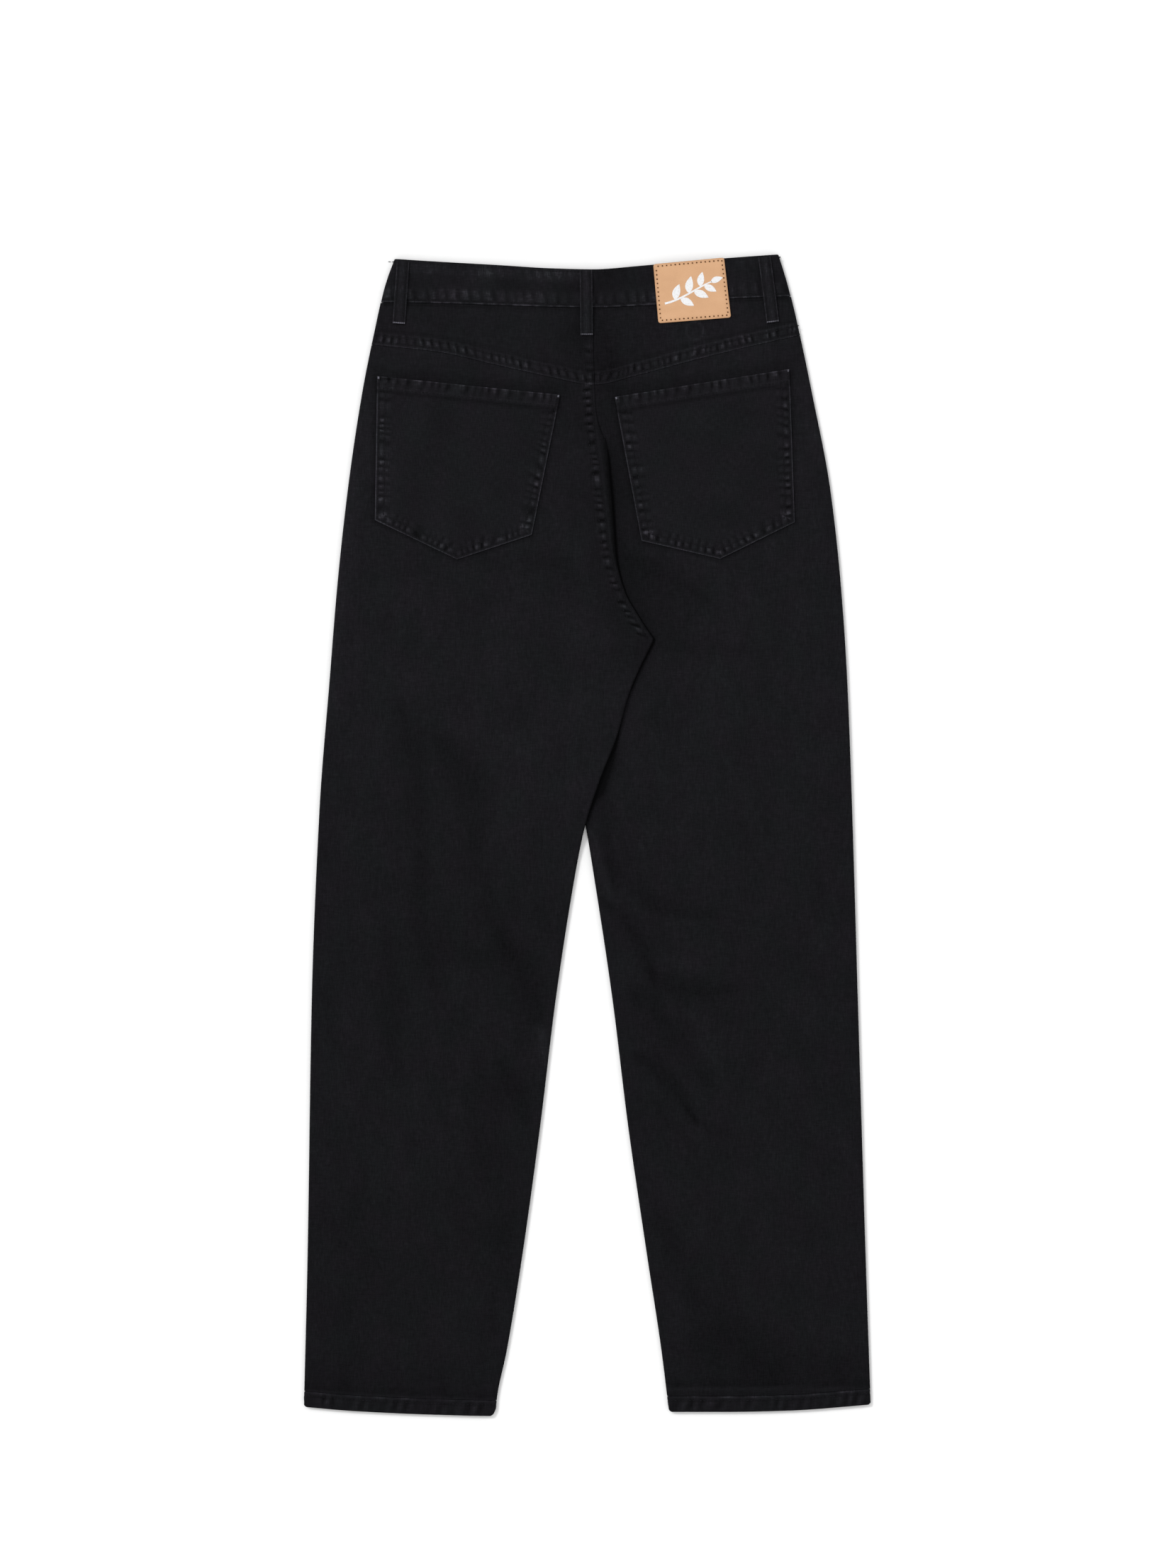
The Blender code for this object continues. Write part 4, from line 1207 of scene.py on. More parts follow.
def make_front(side, columns, creases, keep=None):
    """A front panel, which its creases lift a little off the surface."""
    points = sweep(front_row, FRONT_ROWS, columns) + (0, 0, FRONT_LIFT / 2)
    x, y = xy_of(points)
    points[..., 2] += front_lift(creases, x, y)
    wear_and_shade = front_wear_and_shade(creases, x, y)
    return shell("cloth_front_leg_" + side, points, 0, wear_and_shade, keep, CLOTH - FRONT_LIFT)


def make_fronts():
    def left_start(y):
        return left_outer(y) + OUTER_RETURN + SEAM_GAP

    def flat_end(y):
        return np.where(y > CROTCH_Y, -SEAM_GAP / 2, lap_start(y))

    def ramp_end(y):
        return lap_start(y) + LAP_RAMP

    def lap_end(y):
        return left_inner(y) - INNER_RETURN - SEAM_GAP

    def right_start(y):
        return np.where(y > CROTCH_Y, SEAM_GAP / 2, right_inner(y) + INNER_RETURN + SEAM_GAP)

    def right_end(y):
        return right_outer(y) - OUTER_RETURN - SEAM_GAP

    shares = np.arange(FRONT_LEFT_COLUMNS + 1) / FRONT_LEFT_COLUMNS
    flat = between(left_start, flat_end, shares, level(FLOOR_LAYER))
    lap = between(flat_end, ramp_end, later_shares(FRONT_LAP_COLUMNS), ramp_height)
    lap += between(ramp_end, lap_end, later_shares(FRONT_LAP_COLUMNS), ramp_height)
    keep = all_cells(FRONT_ROWS, flat + lap)
    keep[FRONT_ROWS[:-1] > CROTCH_Y, len(flat) - 1 :] = False
    shares = np.arange(FRONT_RIGHT_COLUMNS + 1) / FRONT_RIGHT_COLUMNS
    right = between(right_start, right_end, shares, level(FLOOR_LAYER))
    return make_front("left", flat + lap, LEFT_FOLDS, keep), make_front("right", right, RIGHT_FOLDS)


def tube_turns(top, low, cloth, left=left_outer, right=right_outer):
    """The turns at both ends of a flattened tube."""
    sides = ((left, -1), (right, 1))
    return [turn(edge, steady(top), steady(low), side, 0, cloth) for edge, side in sides]


def make_hem(side, left, right):
    low, top = HEM_CLOTH / 2, HEM_TOP
    left_turn, right_turn = tube_turns(top, low, HEM_CLOTH, left, right)
    tops = between(end_of(left_turn), end_of(right_turn), inner_shares(HEM_COLUMNS), level(top))
    unders = between(right_turn[0][0], left_turn[0][0], inner_shares(HEM_UNDER_COLUMNS), level(low))
    points = sweep(hem_row, HEM_ROWS, left_turn + tops + right_turn[::-1] + unders)
    x, y = xy_of(points)
    relief, wear_and_shade = hem_marks(x, y)
    corner = np.minimum(x - left(y), right(y) - x)
    rise = HEM_CORNER_RISE * ease((HEM_CORNER - corner) / HEM_CORNER) ** 2
    points[..., 1] += rise * (1 - HEM_ROWS / HEM_HEIGHT)[:, None]
    relief[:, -len(unders) :] = 0.3 * relief[:, -len(unders) :] - FRONT_LIFT
    thick = rounded(np.minimum(HEM_ROWS, HEM_HEIGHT - HEM_ROWS), HEM_CLOTH)[:, None]
    return shell("cloth_hem_" + side, points, relief, wear_and_shade, cloth=thick, closed=True)


def lap_end_height(x, y):
    """The right end of the waistband rises from the floor, to lie on the left end."""
    return BAND_FLOOR + (BAND_LAP_LAYER - BAND_FLOOR) * ease((LAP_END_START - x) / LAP_END_RAMP)


def button_place():
    """The middle of the front waistband, where the button sits."""
    return 0.0, float(waist_seam(0.0) + waist_top(0.0)) / 2 - FRONT_DROP


def make_waistband():
    """The waistband: from its left end underneath, round the back, to its right end on top of it."""
    left_turn, right_turn = tube_turns(BAND_SIDE, BAND_FLOOR, BAND_CLOTH)
    floor, lap_edge = level(BAND_FLOOR), steady(FRONT_LAP)
    ramp_start, ramp_end = steady(LAP_END_START), steady(LAP_END_START - LAP_END_RAMP)
    shares = (np.arange(BAND_LEFT_COLUMNS) / BAND_LEFT_COLUMNS) ** 1.15
    before = between(lap_edge, left_turn[0][0], shares, floor) + left_turn
    tops = between(end_of(left_turn), end_of(right_turn), inner_shares(BAND_COLUMNS), band_height)
    after = right_turn[::-1]
    after += between(right_turn[0][0], ramp_start, later_shares(BAND_RIGHT_COLUMNS), floor)
    after += between(ramp_start, ramp_end, later_shares(BAND_RAMP_COLUMNS), lap_end_height)
    after += between(ramp_end, steady(-FRONT_LAP), later_shares(BAND_END_COLUMNS), lap_end_height)
    points = sweep(band_row, 1 - WAIST_ROWS / BAND_DEPTH, before + tops + after)
    relief, wear_and_shade = band_marks(*xy_of(points))
    front = np.ones(points.shape[1], bool)
    front[len(before) : len(before + tops)] = False
    points[:, front, 1] -= front_drop(points[:, front, 0])
    x0, y0 = button_place()
    far = np.hypot(points[:, front, 0] - x0, points[:, front, 1] - y0)
    dent = 0.8 * (1 - ease((far - BUTTON_RADIUS - 0.3) / 2.0))
    relief[:, front] = 0.3 * relief[:, front] - FRONT_LIFT - dent
    thick = rounded(np.minimum(WAIST_ROWS, BAND_DEPTH - WAIST_ROWS), BAND_CLOTH)[:, None]
    return shell("cloth_waistband", points, relief, wear_and_shade, cloth=thick)


# Pieces sewn on


def edge_spread(count, width):
    """Shares across a piece that is sewn along both edges, closest beside them."""
    near = np.array([0, 0.35, 0.8, 1.3, 1.8, 2.4, 3.2, 4.4, 5.8, 7.2, 8.6, 9.5, 10.2, 10.9, 11.8])
    middle = np.linspace(near[-1], width - near[-1], count)
    return np.concatenate([near, middle[1:-1], (width - near)[::-1]]) / width


def laid_on(face, plan, cloth):
    """The middle points of a piece with this plan, laid on a face."""
    z = face(*xy_of(plan)) + LAID_GAP + cloth / 2
    return np.concatenate([plan, z[..., None]], axis=-1)


# Each back pocket's outline, the face that it lies on and the seed of its puckers
POCKETS = {"left": (LEFT_POCKET, left_face, 81), "right": (RIGHT_POCKET, right_face, 91)}


def make_pocket(side):
    corners, face, seed = POCKETS[side]
    top_left, top_right, low_right, tip_point, low_left = corners
    across = edge_spread(POCKET_GRID[0], POCKET_WIDTH)
    tip = (tip_point[0] - low_left[0]) / (low_right[0] - low_left[0])
    across[np.abs(across - tip).argmin()] = tip
    top = top_left + across[:, None] * (top_right - top_left)
    ends = zip(low_left, tip_point, low_right)
    low = np.stack([np.interp(across, (0, tip, 1), end) for end in ends], axis=1)
    plan = top + edge_spread(POCKET_GRID[1], POCKET_DEPTH)[:, None, None] * (low - top)
    x, y = xy_of(plan)
    relief, wear_and_shade = pocket_marks(corners, seed)(x, y)
    in_edge = edge_places(corners, x, y)[0].min(axis=-1)
    far_x, far_y = (x - POCKET_MOUTH_SHADE["x"]) / POCKET_MOUTH_SHADE["width"], (y - POCKET_MOUTH_SHADE["y"]) / POCKET_MOUTH_SHADE["height"]
    gap = pulse(np.hypot(far_x, far_y), 1)
    wear_and_shade = wear_and_shade + 0.04 * swell(x, y, 40, seed) + 0.15 * pulse(in_edge, 0.6)
    # Lighter near the left pocket's left edge, and the painted shadow in the pocket's mouth
    wear_and_shade = wear_and_shade + 0.22 * pulse(x + 178, 12) - 0.9 * gap
    points = laid_on(face, plan, POCKET_CLOTH)
    return shell("cloth_pocket_" + side, points, relief, wear_and_shade, cloth=rounded(in_edge, POCKET_CLOTH))


def make_patch():
    """The leather patch, with rounded corners and the dents of its stitching."""
    top_left, top_right, low_right, low_left = PATCH
    u = np.linspace(0, 1, PATCH_GRID[0])[None, :] * PATCH_WIDTH
    v = np.linspace(0, 1, PATCH_GRID[1])[:, None] * PATCH_DEPTH
    in_u, in_v = np.minimum(u, PATCH_WIDTH - u), np.minimum(v, PATCH_DEPTH - v)
    a, b = (np.clip(PATCH_CORNER - inside, 0, PATCH_CORNER) for inside in (in_u, in_v))
    shrink_u = a * (1 - np.sqrt(1 - (b / PATCH_CORNER) ** 2 / 2))
    shrink_v = b * (1 - np.sqrt(1 - (a / PATCH_CORNER) ** 2 / 2))
    u = (u + np.sign(PATCH_WIDTH / 2 - u) * shrink_u)[..., None] / PATCH_WIDTH
    v = (v + np.sign(PATCH_DEPTH / 2 - v) * shrink_v)[..., None] / PATCH_DEPTH
    top, low = top_left + u * (top_right - top_left), low_left + u * (low_right - low_left)
    plan = top + v * (low - top)
    edge = np.minimum(in_u, in_v)
    relief = -0.2 * pulse(edge - PATCH_DENT, 0.9) + 0.05 * swell(*xy_of(plan), 25, 71)
    wear_and_shade = 0.9 * pulse(edge, 1.1) + 0.15 * pulse(edge - PATCH_DENT, 0.7)
    points = laid_on(waist_face, plan, PATCH_CLOTH)
    return shell("leather_patch", points, relief, wear_and_shade, cloth=rounded(edge, PATCH_CLOTH))


def loop_axes(place):
    """A belt loop's upper and lower ends, the ways down and across it, and its length."""
    top, low = np.array(place["top"]), np.array(place["low"])
    along = unit(low - top)
    return top, low, along, quarter(along), float(np.linalg.norm(low - top))


def loop_grid(place):
    """The middle points of a belt loop, with their ways across it and their shares down it."""
    down = np.linspace(0, 1, LOOP_GRID_ROWS)
    top, low, _, side, _ = loop_axes(place)
    offset = LOOP_WIDTH * np.concatenate([-np.array(LOOP_COLUMNS[::-1]), (0,), LOOP_COLUMNS])
    plan = (top + down[:, None] * (low - top))[:, None] + side * offset[:, None]
    points = laid_on(waist_face, plan, LOOP_CLOTH)
    lift = LOOP_RISE * np.sin(math.pi * down) ** 2 + place["seat"] * ease((down - 0.3) / 0.3)
    points[..., 2] += lift[:, None]
    return points, offset, down


def make_loop(node, place):
    points, offset, down = loop_grid(place)
    length = loop_axes(place)[-1]
    in_edge = LOOP_WIDTH / 2 - np.abs(offset)
    in_end = np.minimum(down, 1 - down)[:, None] * length
    sewn = pulse(in_edge - LOOP_STITCH, GROOVE_WIDTH)
    pucker = 0.06 * np.cos(2 * math.pi * down[:, None] * length / 5.5) * pulse(in_edge - 1.2, 1.2)
    relief = 0.25 * pulse(offset, 2.6) - 0.2 * sewn + pucker
    # Lighter along the middle and at the edges, with painted shade along the stitch grooves
    wear_and_shade = 0.12 + 0.25 * pulse(offset, 2.4) + 0.6 * pulse(in_edge, 0.8) - 0.35 * sewn
    thick = rounded(np.minimum(in_edge, in_end), LOOP_CLOTH)
    return shell("cloth_" + node, points, relief, wear_and_shade, cloth=thick)


def make_button():
    """The fly button, turned: a rim, a groove and a low dome, with its face at the floor."""
    x0, y0 = button_place()
    angles = 2 * math.pi * np.arange(BUTTON_SIDES) / BUTTON_SIDES
    rings = [
        np.column_stack([x0 + r * np.cos(angles), y0 + r * np.sin(angles), 0 * angles + z])
        for r, z in BUTTON_PROFILE[1:-1]
    ]
    middles = [[(x0, y0, BUTTON_PROFILE[end][1])] for end in (0, -1)]
    count, sides = len(rings), BUTTON_SIDES
    faces = []
    for k in range(sides):
        m = (k + 1) % sides
        faces.append((count * sides, m, k))
        for low in range(0, (count - 1) * sides, sides):
            faces.append((low + k, low + m, low + sides + m, low + sides + k))
        faces.append((count * sides + 1, (count - 1) * sides + k, (count - 1) * sides + m))
    return mesh_piece("button_turned", np.concatenate(rings + middles), faces)


# Stitching


def resample(path, pitch):
    """Points a pitch apart along a line of corners, with the direction at each."""
    path = np.asarray(path, float)
    reach = np.append(0, np.cumsum(np.linalg.norm(np.diff(path, axis=0), axis=1)))
    at = np.arange(pitch / 2, reach[-1], pitch)

    def place(way):
        return np.stack([np.interp(way, reach, path[:, k]) for k in range(2)], axis=1)

    return place(at), unit(place(at + 0.3) - place(at - 0.3))


def stitch_points(path, height, up, pitch, length, thread, seed):
    """The points of the stitches along one row: two tips and two rings of six points for each."""
    here, along = resample(path, pitch)
    draw = np.random.default_rng(seed)
    lean = draw.normal(0, 0.06, len(here))[:, None]
    along = along + lean * quarter(along)
    side = quarter(along)
    size = draw.uniform(0.88, 1.1, len(here))
    ring = [(math.cos(a), math.sin(a)) for a in math.pi * np.arange(6) / 3]
    template = [(-0.5, 0, -0.3)]
    template += [(end, c * 0.5, s * 0.42) for end in (-0.27, 0.27) for c, s in ring]
    template += [(0.5, 0, -0.3)]
    out = []
    for far, wide, high in template:
        at = here + along * (far * length * size)[:, None]
        z = height(*at.T) + up * thread * (high + 0.12)
        out.append(np.column_stack([at + side * wide * thread, z]))
    return np.stack(out, axis=1)


STITCH_FACES = (
    [(0, 1 + (k + 1) % 6, 1 + k) for k in range(6)]
    + [(1 + k, 1 + (k + 1) % 6, 7 + (k + 1) % 6, 7 + k) for k in range(6)]
    + [(13, 7 + k, 7 + (k + 1) % 6) for k in range(6)]
)


def sew(name, rows, up=1, pitch=STITCH_PITCH, length=STITCH_LENGTH, thread=THREAD):
    """All stitches along some rows, each a path and the surface that it is sewn on, as one mesh."""
    sizes = (up, pitch, length, thread)
    points = np.concatenate([stitch_points(*row, *sizes, 100 + k) for k, row in enumerate(rows)])
    starts = range(0, len(points) * points.shape[1], points.shape[1])
    faces = [tuple(start + i for i in face[::up]) for start in starts for face in STITCH_FACES]
    return mesh_piece(name, points.reshape(-1, 3), faces)


def straight(a, b, count=40):
    return np.linspace(a, b, count)


def sew_yokes():
    def on_left(x, y):
        return left_face(x, y) + yoke_left(x, y)[0]

    def on_right(x, y):
        return right_face(x, y) + yoke_right(x, y)[0]

    left = np.linspace(float(left_outer(410)) + 4, 4, 90)
    right = np.linspace(7.5, float(right_outer(420)) - 4, 90)
    seam, y = end_of(left_turns()[1]), np.linspace(452, 400, 30)
    rows = []
    for v in FELL_ROWS:
        rows.append((np.column_stack([left, yoke_edge(left) + v]), on_left))
        rows.append((np.column_stack([right, yoke_edge(right) + v]), on_right))
        rows.append((np.column_stack([seam(y) - v, y]), on_left))
    return sew("stitches_yokes", rows)


def sew_seat():
    def face(x, y):
        return left_face(x, y) + seat_marks(x, y)[0]

    y = np.linspace(386, 182, 120)
    return sew("stitches_seat", [(np.column_stack([seat_edge(y) - v, y]), face) for v in FELL_ROWS])


def sew_pocket(side):
    corners, face, seed = POCKETS[side]
    marks = pocket_marks(corners, seed)

    def height(x, y):
        return face(x, y) + LAID_GAP + POCKET_CLOTH + marks(x, y)[0]

    rows = []
    for v in POCKET_ROWS:
        at = inset(corners, [1.5] + [v] * 4)
        turns = ((0, 4), (4, 3), (3, 2), (2, 1))
        rows.append((np.concatenate([straight(at[a], at[b]) for a, b in turns]), height))
    at = inset(corners, [POCKET_HEM - 1.6] + [1.0] * 4)
    rows.append((straight(at[0], at[1], 60), height))
    return sew("stitches_pocket_" + side, rows)


def band_face(x, y):
    return band_height(x) + BAND_CLOTH / 2 + band_marks(x, y)[0]


def sew_waistband():
    x = np.linspace(float(left_outer(475)) + 6, float(right_outer(475)) - 6, 120)
    ways = (waist_seam(x) + STITCH_IN, waist_top(x) - BAND_STITCH)
    return sew("stitches_waistband", [(np.column_stack([x, y]), band_face) for y in ways])


def hem_paths(margin):
    """The lines of stitching along both hems, this far in from the side folds."""
    for left, right in ((left_outer, left_inner), (right_inner, right_outer)):
        x = np.linspace(float(left(-480)) + margin, float(right(-480)) - margin, 80)
        yield np.column_stack([x, hem_end(x) + HEM_STITCH])


def sew_hems():
    def height(x, y):
        return HEM_TOP + HEM_CLOTH / 2 + hem_marks(x, y)[0]

    return sew("stitches_hems", [(path, height) for path in hem_paths(3)])


def loop_height(place):
    """The upper face of a belt loop, read between its grid's points along its length."""
    top, low = loop_axes(place)[:2]
    axis = (low - top) / np.dot(low - top, low - top)
    points, _, down = loop_grid(place)
    middle = points[:, points.shape[1] // 2, 2] + LOOP_CLOTH / 2
    return lambda x, y: np.interp((x - top[0]) * axis[0] + (y - top[1]) * axis[1], down, middle)


def sew_loops():
    rows = []
    for place in LOOPS.values():
        top, low, along, side, _ = loop_axes(place)
        for v in (-1, 1):
            offset = side * v * (LOOP_WIDTH / 2 - LOOP_STITCH)
            rows.append((straight(top + offset + along * 2, low + offset - along * 3), loop_height(place)))
    return sew("stitches_loops", rows, thread=LOOP_THREAD)


def sew_tacks():
    """The bar tacks: close rows of short stitches across the lower ends of the belt loops."""
    rows = []
    for place in LOOPS.values():
        _, low, along, side, _ = loop_axes(place)
        middle, height = low - along * 0.9, loop_height(place)
        for k in np.linspace(-1, 1, 11):
            at = middle + side * k * (LOOP_WIDTH / 2 - 0.6)
            rows.append((straight(at - along * 0.6, at + along * 0.6, 3), height))
    return sew("bar_tacks", rows, **LOOP_TACK)


def sew_patch():
    def height(x, y):
        return waist_face(x, y) + LAID_GAP + PATCH_CLOTH - 0.1

    at = inset(PATCH, [PATCH_STITCH] * 4)
    path = np.concatenate([straight(at[k], at[(k + 1) % 4]) for k in range(4)])
    return sew("stitches_patch", [(path, height)], **PATCH_STITCHES)


def sew_front():
    """The stitching underneath: the waistband's front, the fly, the middle seam and the hems."""
    x = np.linspace(-172, 168, 120)
    low, high = waist_seam(x) + STITCH_IN, waist_top(x) - BAND_STITCH
    paths = [np.column_stack([x, y - front_drop(x)]) for y in (low, high)]
    turn_y, end_y = 330.0, 288.0
    angle = np.linspace(0, math.pi / 2, 30)
    for reach in (38.0, 32.0):
        bend = np.column_stack([-reach * np.cos(angle), turn_y - (turn_y - end_y) * np.sin(angle)])
        paths.append(np.concatenate([[(-reach, 441.0)], bend, [(-2.0, end_y)]]))
    paths += [straight((-v, 284), (-v, 172)) for v in FELL_ROWS]
    paths += hem_paths(5)
    return sew("stitches_front", [(path, level(FRONT_LIFT)) for path in paths], up=-1, thread=FINE_THREAD)


def tack_pockets():
    """Short bar tacks at the upper corners of both pockets."""
    def top_of(face):
        return lambda x, y: face(x, y) + LAID_GAP + POCKET_CLOTH + FELL_RAISE

    rows = []
    for corners, face, _ in POCKETS.values():
        for corner, below, side in ((0, 4, 1), (1, 2, -1)):
            down = unit(corners[below] - corners[corner])
            across = unit(corners[1] - corners[0]) * side
            for k in range(3):
                at = corners[corner] + across * 1.2 + down * (0.7 + 0.6 * k)
                rows.append((straight(at - across * 0.9, at + across * 0.9, 3), top_of(face)))
    return sew("pocket_tacks", rows, **POCKET_TACK)


# The painted leaf


def bezier(points, t):
    a, b, c, d = (np.array(p) for p in points)
    t = np.asarray(t, float)[..., None]
    return (1 - t) ** 3 * a + 3 * t * (1 - t) ** 2 * b + 3 * t**2 * (1 - t) * c + t**3 * d


def blade(start, direction, length, width, steps=14):
    """The two edges of a leaf, pointed at both ends and fullest near its stalk."""
    t = np.linspace(0, 1, steps)
    half = width / 2 * np.sin(math.pi * t**0.8) ** 0.9
    side = quarter(direction)
    middle = start + np.outer(t * length, direction) + np.outer(0.12 * length * t * (1 - t), side)
    return middle + half[:, None] * side, middle - half[:, None] * side


def sprig_strips():
    """The two edges of the stem, then those of each leaf."""
    t = np.linspace(0, 1, 40)
    stem = bezier(SPRIG_STEM, t)
    along = unit(np.gradient(stem, axis=0))
    half = (0.9 - 0.3 * t)[:, None]
    yield stem + quarter(along) * half, stem - quarter(along) * half
    for at, turn_to, length, width in zip(*SPRIG_LEAVES.values()):
        k = int(at * 39)
        angle = math.atan2(along[k][1], along[k][0]) + turn_to * LEAF_ANGLE
        direction = np.array([math.cos(angle), math.sin(angle)])
        yield blade(stem[k] + direction * 0.9 * abs(turn_to), direction, length, width)


def make_sprig():
    """A plain leafy twig, painted on the patch."""
    right = unit(PATCH[1] - PATCH[0])
    points, faces, first = [], [], 0
    for strip in sprig_strips():
        n = len(strip[0])
        plan = np.concatenate(strip)
        plan = PATCH.mean(axis=0) + plan[:, :1] * right + plan[:, 1:] * quarter(right)
        z = waist_face(*xy_of(plan)) + LAID_GAP + PATCH_CLOTH
        points += [np.column_stack([plan, z + PAINT]), np.column_stack([plan, z - PAINT])]
        for k in range(n - 1):
            a, b, c, d = first + k, first + k + 1, first + n + k + 1, first + n + k
            faces += [(d, c, b, a), tuple(i + 2 * n for i in (a, b, c, d))]
            faces += [(a, b, b + 2 * n, a + 2 * n), (c, d, d + 2 * n, c + 2 * n)]
        faces.append((first + n, first, first + 2 * n, first + 3 * n))
        faces.append((first + n - 1, first + 2 * n - 1, first + 4 * n - 1, first + 3 * n - 1))
        first += 4 * n
    return mesh_piece("patch_sprig", np.concatenate(points), faces)


# Materials


def graph(name, roughness, specular, metallic=0.0):
    """A new material, its nodes, its shader, and the place on the object as an output."""
    made = bpy.data.materials.new(name)
    made.use_nodes = True
    tree = made.node_tree
    shader = tree.nodes["Principled BSDF"]
    shader.inputs["Roughness"].default_value = roughness
    shader.inputs["Specular IOR Level"].default_value = specular
    shader.inputs["Metallic"].default_value = metallic
    return made, tree, shader, tree.nodes.new("ShaderNodeTexCoord").outputs["Object"]


def wear_and_shade_of(tree):
    """The wear and painted light and shade of the mesh, as an output."""
    node = tree.nodes.new("ShaderNodeAttribute")
    node.attribute_name = "wear_and_shade"
    return node.outputs["Fac"]


def add(tree, kind, inputs, **settings):
    """A node with its settings, and with its inputs set to values or linked to outputs."""
    node = tree.nodes.new("ShaderNode" + kind)
    for key, value in settings.items():
        setattr(node, key, value)
    for key, value in inputs.items():
        if isinstance(value, bpy.types.NodeSocket):
            tree.links.new(value, node.inputs[key])
        else:
            node.inputs[key].default_value = value
    return node.outputs[0]


def noise(tree, place, sizes, detail=2.0):
    """Noise from 0 to 1, with its grain of these sizes along X, Y and Z, in millimetres."""
    scale = tuple(1 / (MM * size) for size in sizes)
    mapped = add(tree, "Mapping", {"Vector": place, "Scale": scale})
    return add(tree, "TexNoise", {"Vector": mapped, "Scale": 1.0, "Detail": detail, "Roughness": 0.55})


def weigh(tree, start, *terms):
    """start plus each (output, weight, middle), counting an output from its middle."""
    total = start
    for output, weight, middle in terms:
        part = add(tree, "Math", {0: output, 1: middle}, operation="SUBTRACT")
        part = add(tree, "Math", {0: part, 1: weight}, operation="MULTIPLY")
        total = add(tree, "Math", {0: total, 1: part}, operation="ADD")
    return total


def ramp(tree, factor, stops):
    node = tree.nodes.new("ShaderNodeValToRGB")
    tree.links.new(factor, node.inputs["Fac"])
    elements = node.color_ramp.elements
    while len(elements) < len(stops):
        elements.new(1.0)
    for element, (at, colour) in zip(elements, stops):
        element.position = at
        element.color = (*colour, 1)
    return node.outputs["Color"]


def finish(tree, shader, colour, height, strength, distance):
    tree.links.new(colour, shader.inputs["Base Color"])
    node = tree.nodes.new("ShaderNodeBump")
    node.inputs["Strength"].default_value = strength
    node.inputs["Distance"].default_value = distance * MM
    tree.links.new(height, node.inputs["Height"])
    tree.links.new(node.outputs["Normal"], shader.inputs["Normal"])


def black(value):
    """A near-black of this brightness, with the slight blue of the dye."""
    return (value, value * 0.975, value * 1.16)


# The twill's lines, and the brightness or colour at each place of a finish's range
TWILL_PITCH = 1.05
TWILL_TURN = math.radians(58)
WAVE_UNIT = math.pi / 10
DOUBLED_SHADE = 0.93
DENIM_STOPS = ((0.0, 0.002), (0.4, 0.0073), (0.62, 0.0118), (1.0, 0.05))
TINTS = ((0.35, (0.95, 1.02, 0.98)), (0.65, (1.045, 0.985, 1.025)))
LEATHER_STOPS = (
    (0.0, (0.38, 0.2, 0.095)),
    (0.35, (0.54, 0.31, 0.17)),
    (0.65, (0.625, 0.365, 0.202)),
    (1.0, (0.68, 0.425, 0.255)),
)


def denim(name, shade=1.0):
    """Black twill: diagonal lines, yarn streaks, a hazy dye, lighter worn places, painted highlights and
    darker places of painted shade.
    """
    made, tree, shader, place = graph(name, 0.92, 0.05)
    turned = add(tree, "Mapping", {"Vector": place, "Rotation": (0, 0, TWILL_TURN)})
    scale = WAVE_UNIT / (TWILL_PITCH * MM)
    twill = add(tree, "TexWave", {"Vector": turned, "Scale": scale, "Distortion": 1.2, "Detail": 1.0})
    yarn = noise(tree, place, (0.8, 6.0, 3.0))
    weft = noise(tree, place, (5.0, 0.9, 3.0))
    dye = noise(tree, place, (55.0, 80.0, 60.0), 3.0)
    cloth = ((yarn, 0.5, 0.5), (weft, 0.4, 0.5), (dye, 0.06, 0.5), (twill, 0.1, 0.5))
    factor = weigh(tree, 0.42, (wear_and_shade_of(tree), 0.42, 0.0), *cloth)
    stops = [(at, tuple(shade * c for c in black(value))) for at, value in DENIM_STOPS]
    tint = ramp(tree, noise(tree, place, (24.0, 30.0, 24.0)), TINTS)
    dyed = add(tree, "VectorMath", {0: ramp(tree, factor, stops), 1: tint}, operation="MULTIPLY")
    height = weigh(tree, 0.5, (twill, 0.5, 0.5), (yarn, 0.7, 0.5), (weft, 0.5, 0.5))
    finish(tree, shader, dyed, height, 0.5, 0.22)
    return made


def thread(name, dark, light):
    """Sewing thread: two shades in twisted streaks."""
    made, tree, shader, place = graph(name, 0.8, 0.06)
    tone, twist = noise(tree, place, (6.0, 6.0, 6.0)), noise(tree, place, (0.25, 0.25, 0.25))
    factor = weigh(tree, 0.5, (tone, 1.2, 0.5), (twist, 0.8, 0.5))
    finish(tree, shader, ramp(tree, factor, [(0.2, dark), (0.8, light)]), twist, 0.4, 0.1)
    return made


def leather():
    """Smooth tan leather, darker at its edges and round its stitch holes."""
    made, tree, shader, place = graph("tan_leather", 0.55, 0.2)
    cloud = noise(tree, place, (18.0, 14.0, 18.0), 3.0)
    grain = noise(tree, place, (0.7, 0.7, 0.7), 4.0)
    factor = weigh(tree, 0.62, (cloud, 0.5, 0.5), (grain, 0.3, 0.5), (wear_and_shade_of(tree), -0.5, 0.0))
    finish(tree, shader, ramp(tree, factor, LEATHER_STOPS), grain, 0.35, 0.15)
    return made


def paint():
    """White paint, a little rubbed."""
    made, tree, shader, place = graph("white_paint", 0.6, 0.25)
    rub = noise(tree, place, (1.2, 1.2, 1.2), 3.0)
    colour = ramp(tree, rub, [(0.3, (0.66, 0.63, 0.6)), (0.5, (0.8, 0.8, 0.81))])
    finish(tree, shader, colour, rub, 0.2, 0.05)
    return made


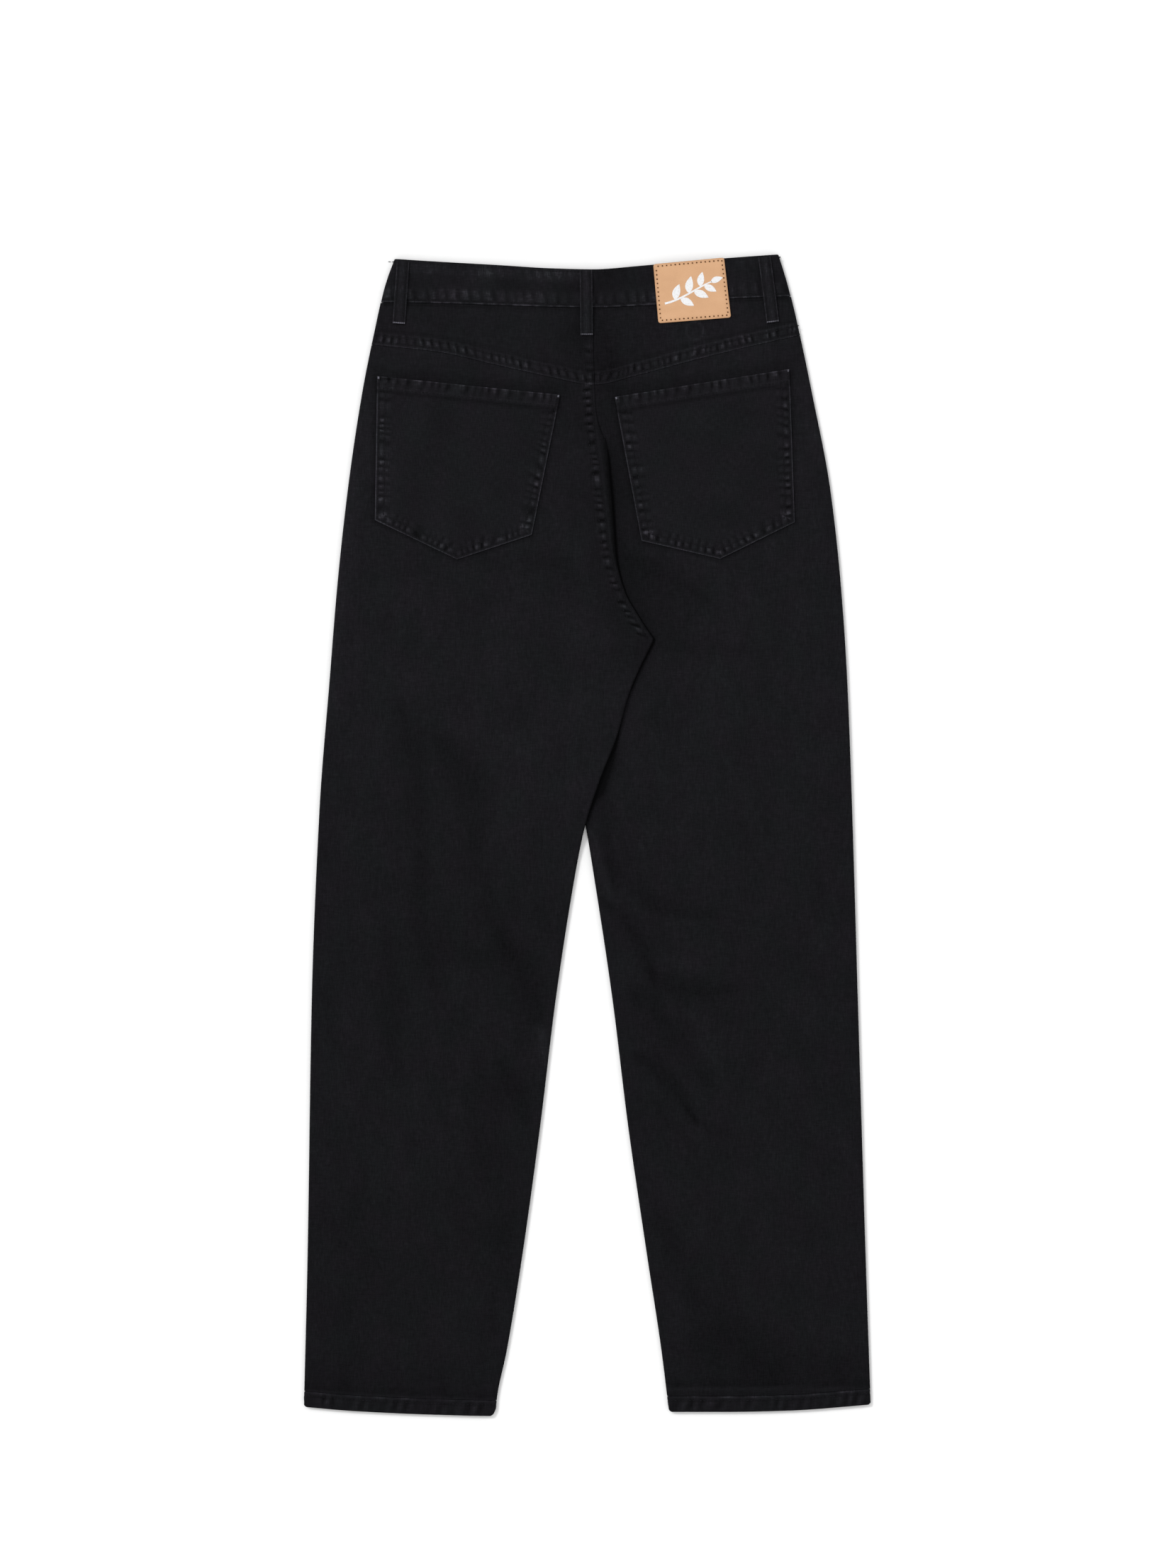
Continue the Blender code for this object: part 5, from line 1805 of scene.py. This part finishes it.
def metal():
    """Dull metal, tarnished and scratched."""
    made, tree, shader, place = graph("aged_metal", 0.38, 0.5, 1.0)
    tarnish = noise(tree, place, (2.2, 2.2, 2.2), 4.0)
    scratch = noise(tree, place, (0.3, 3.0, 0.3), 2.0)
    factor = weigh(tree, 0.5, (tarnish, 1.0, 0.5), (scratch, 0.4, 0.5))
    colour = ramp(tree, factor, [(0.2, (0.16, 0.14, 0.12)), (0.7, (0.46, 0.43, 0.39))])
    finish(tree, shader, colour, tarnish, 0.2, 0.08)
    return made


def floor_finish():
    """A smooth white surface."""
    made, tree, shader, place = graph("pale_floor", 0.85, 0.1)
    cloud = noise(tree, place, (700.0, 700.0, 700.0))
    colour = ramp(tree, cloud, [(0.3, (0.94, 0.94, 0.94)), (0.7, (0.96, 0.96, 0.96))])
    finish(tree, shader, colour, cloud, 0.05, 1.0)
    return made


# Floor, light and camera


def stage():
    mesh = bpy.data.meshes.new("floor")
    sides = ((-1, -1), (1, -1), (1, 1), (-1, 1))
    mesh.from_pydata([(x * FLOOR_HALF, y * FLOOR_HALF, -FLOOR_DROP) for x, y in sides], [], [(0, 1, 2, 3)])
    mesh.materials.append(floor_finish())
    floor = bpy.data.objects.new("floor", mesh)
    bpy.context.scene.collection.objects.link(floor)
    world = bpy.data.worlds.new("studio")
    world.use_nodes = True
    sky = world.node_tree.nodes["Background"]
    sky.inputs["Color"].default_value = (1.0, 1.0, 1.0, 1)
    sky.inputs["Strength"].default_value = SKY
    bpy.context.scene.world = world
    sun = bpy.data.lights.new("key", "SUN")
    sun.energy = KEY
    sun.angle = KEY_SPREAD
    key = bpy.data.objects.new("key", sun)
    key.rotation_euler = Vector(KEY_DIRECTION).to_track_quat("-Z", "Y").to_euler()
    bpy.context.scene.collection.objects.link(key)


def camera():
    """Straight above, with the whole frame of the photograph in view."""
    data = bpy.data.cameras.new("camera")
    data.sensor_fit = "VERTICAL"
    data.sensor_height = 36.0
    data.lens = data.sensor_height * CAMERA_HEIGHT / (PHOTO_HEIGHT * PIXEL)
    data.clip_end = 50
    made = bpy.data.objects.new("camera", data)
    x = (PHOTO_WIDTH / 2 - PHOTO_MIDDLE[0]) * PIXEL + ORIGIN_SHIFT[0]
    y = (PHOTO_MIDDLE[1] - PHOTO_HEIGHT / 2) * PIXEL + ORIGIN_SHIFT[1]
    made.location = (x * MM, y * MM, CAMERA_HEIGHT * MM)
    bpy.context.scene.collection.objects.link(made)
    bpy.context.scene.camera = made


def dress(piece, material, slot, *nodes):
    """Gives a piece its finish and its body, and hides the nodes that it stands for."""
    piece.data.materials.append(material)
    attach(piece, "root")
    if nodes:
        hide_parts(*nodes)
    return piece


def dress_pair(pair, material, node):
    """Dresses the left and the right piece of a pair, whose nodes have names that start alike."""
    sides = zip(pair, ("left", "right"))
    return [dress(piece, material, "black_denim", node + side) for piece, side in sides]


def main():
    stage()
    camera()
    bpy.context.scene.view_settings.view_transform = "Standard"
    cloth, seams = denim("black_denim"), denim("black_denim_doubled", DOUBLED_SHADE)
    tan = leather()
    dark_thread = thread("black_thread", black(0.004), black(0.011))
    worn_thread = thread("grey_thread", black(0.05), black(0.19))
    tan_thread = thread("tan_thread", (0.06, 0.025, 0.008), (0.15, 0.06, 0.02))

    legs = dress_pair((make_back_leg_left(), make_back_leg_right()), cloth, "back_leg_")
    yokes = dress_pair(make_yokes(), cloth, "back_yoke_")
    fronts = dress_pair(make_fronts(), cloth, "front_leg_")
    waist = dress(make_waistband(), seams, "black_denim", "waistband")
    hems = (make_hem("left", left_outer, left_inner), make_hem("right", right_inner, right_outer))
    hems = dress_pair(hems, seams, "hem_")
    pockets = dress_pair([make_pocket(side) for side in POCKETS], cloth, "back_pocket_")
    patch = dress(make_patch(), tan, "tan_leather", "patch")
    dress(make_button(), metal(), "aged_metal", "button")
    loops = [dress(make_loop(node, place), seams, "black_denim", node) for node, place in LOOPS.items()]

    sewn = [sew_yokes(), sew_seat(), sew_waistband(), sew_hems(), sew_loops(), sew_front()]
    for made in sewn + [sew_pocket(side) for side in POCKETS]:
        dress(made, dark_thread, "black_denim")
    for made in (sew_tacks(), tack_pockets()):
        dress(made, worn_thread, "black_denim")
    dress(sew_patch(), tan_thread, "tan_leather")
    dress(make_sprig(), paint(), "tan_leather")


main()
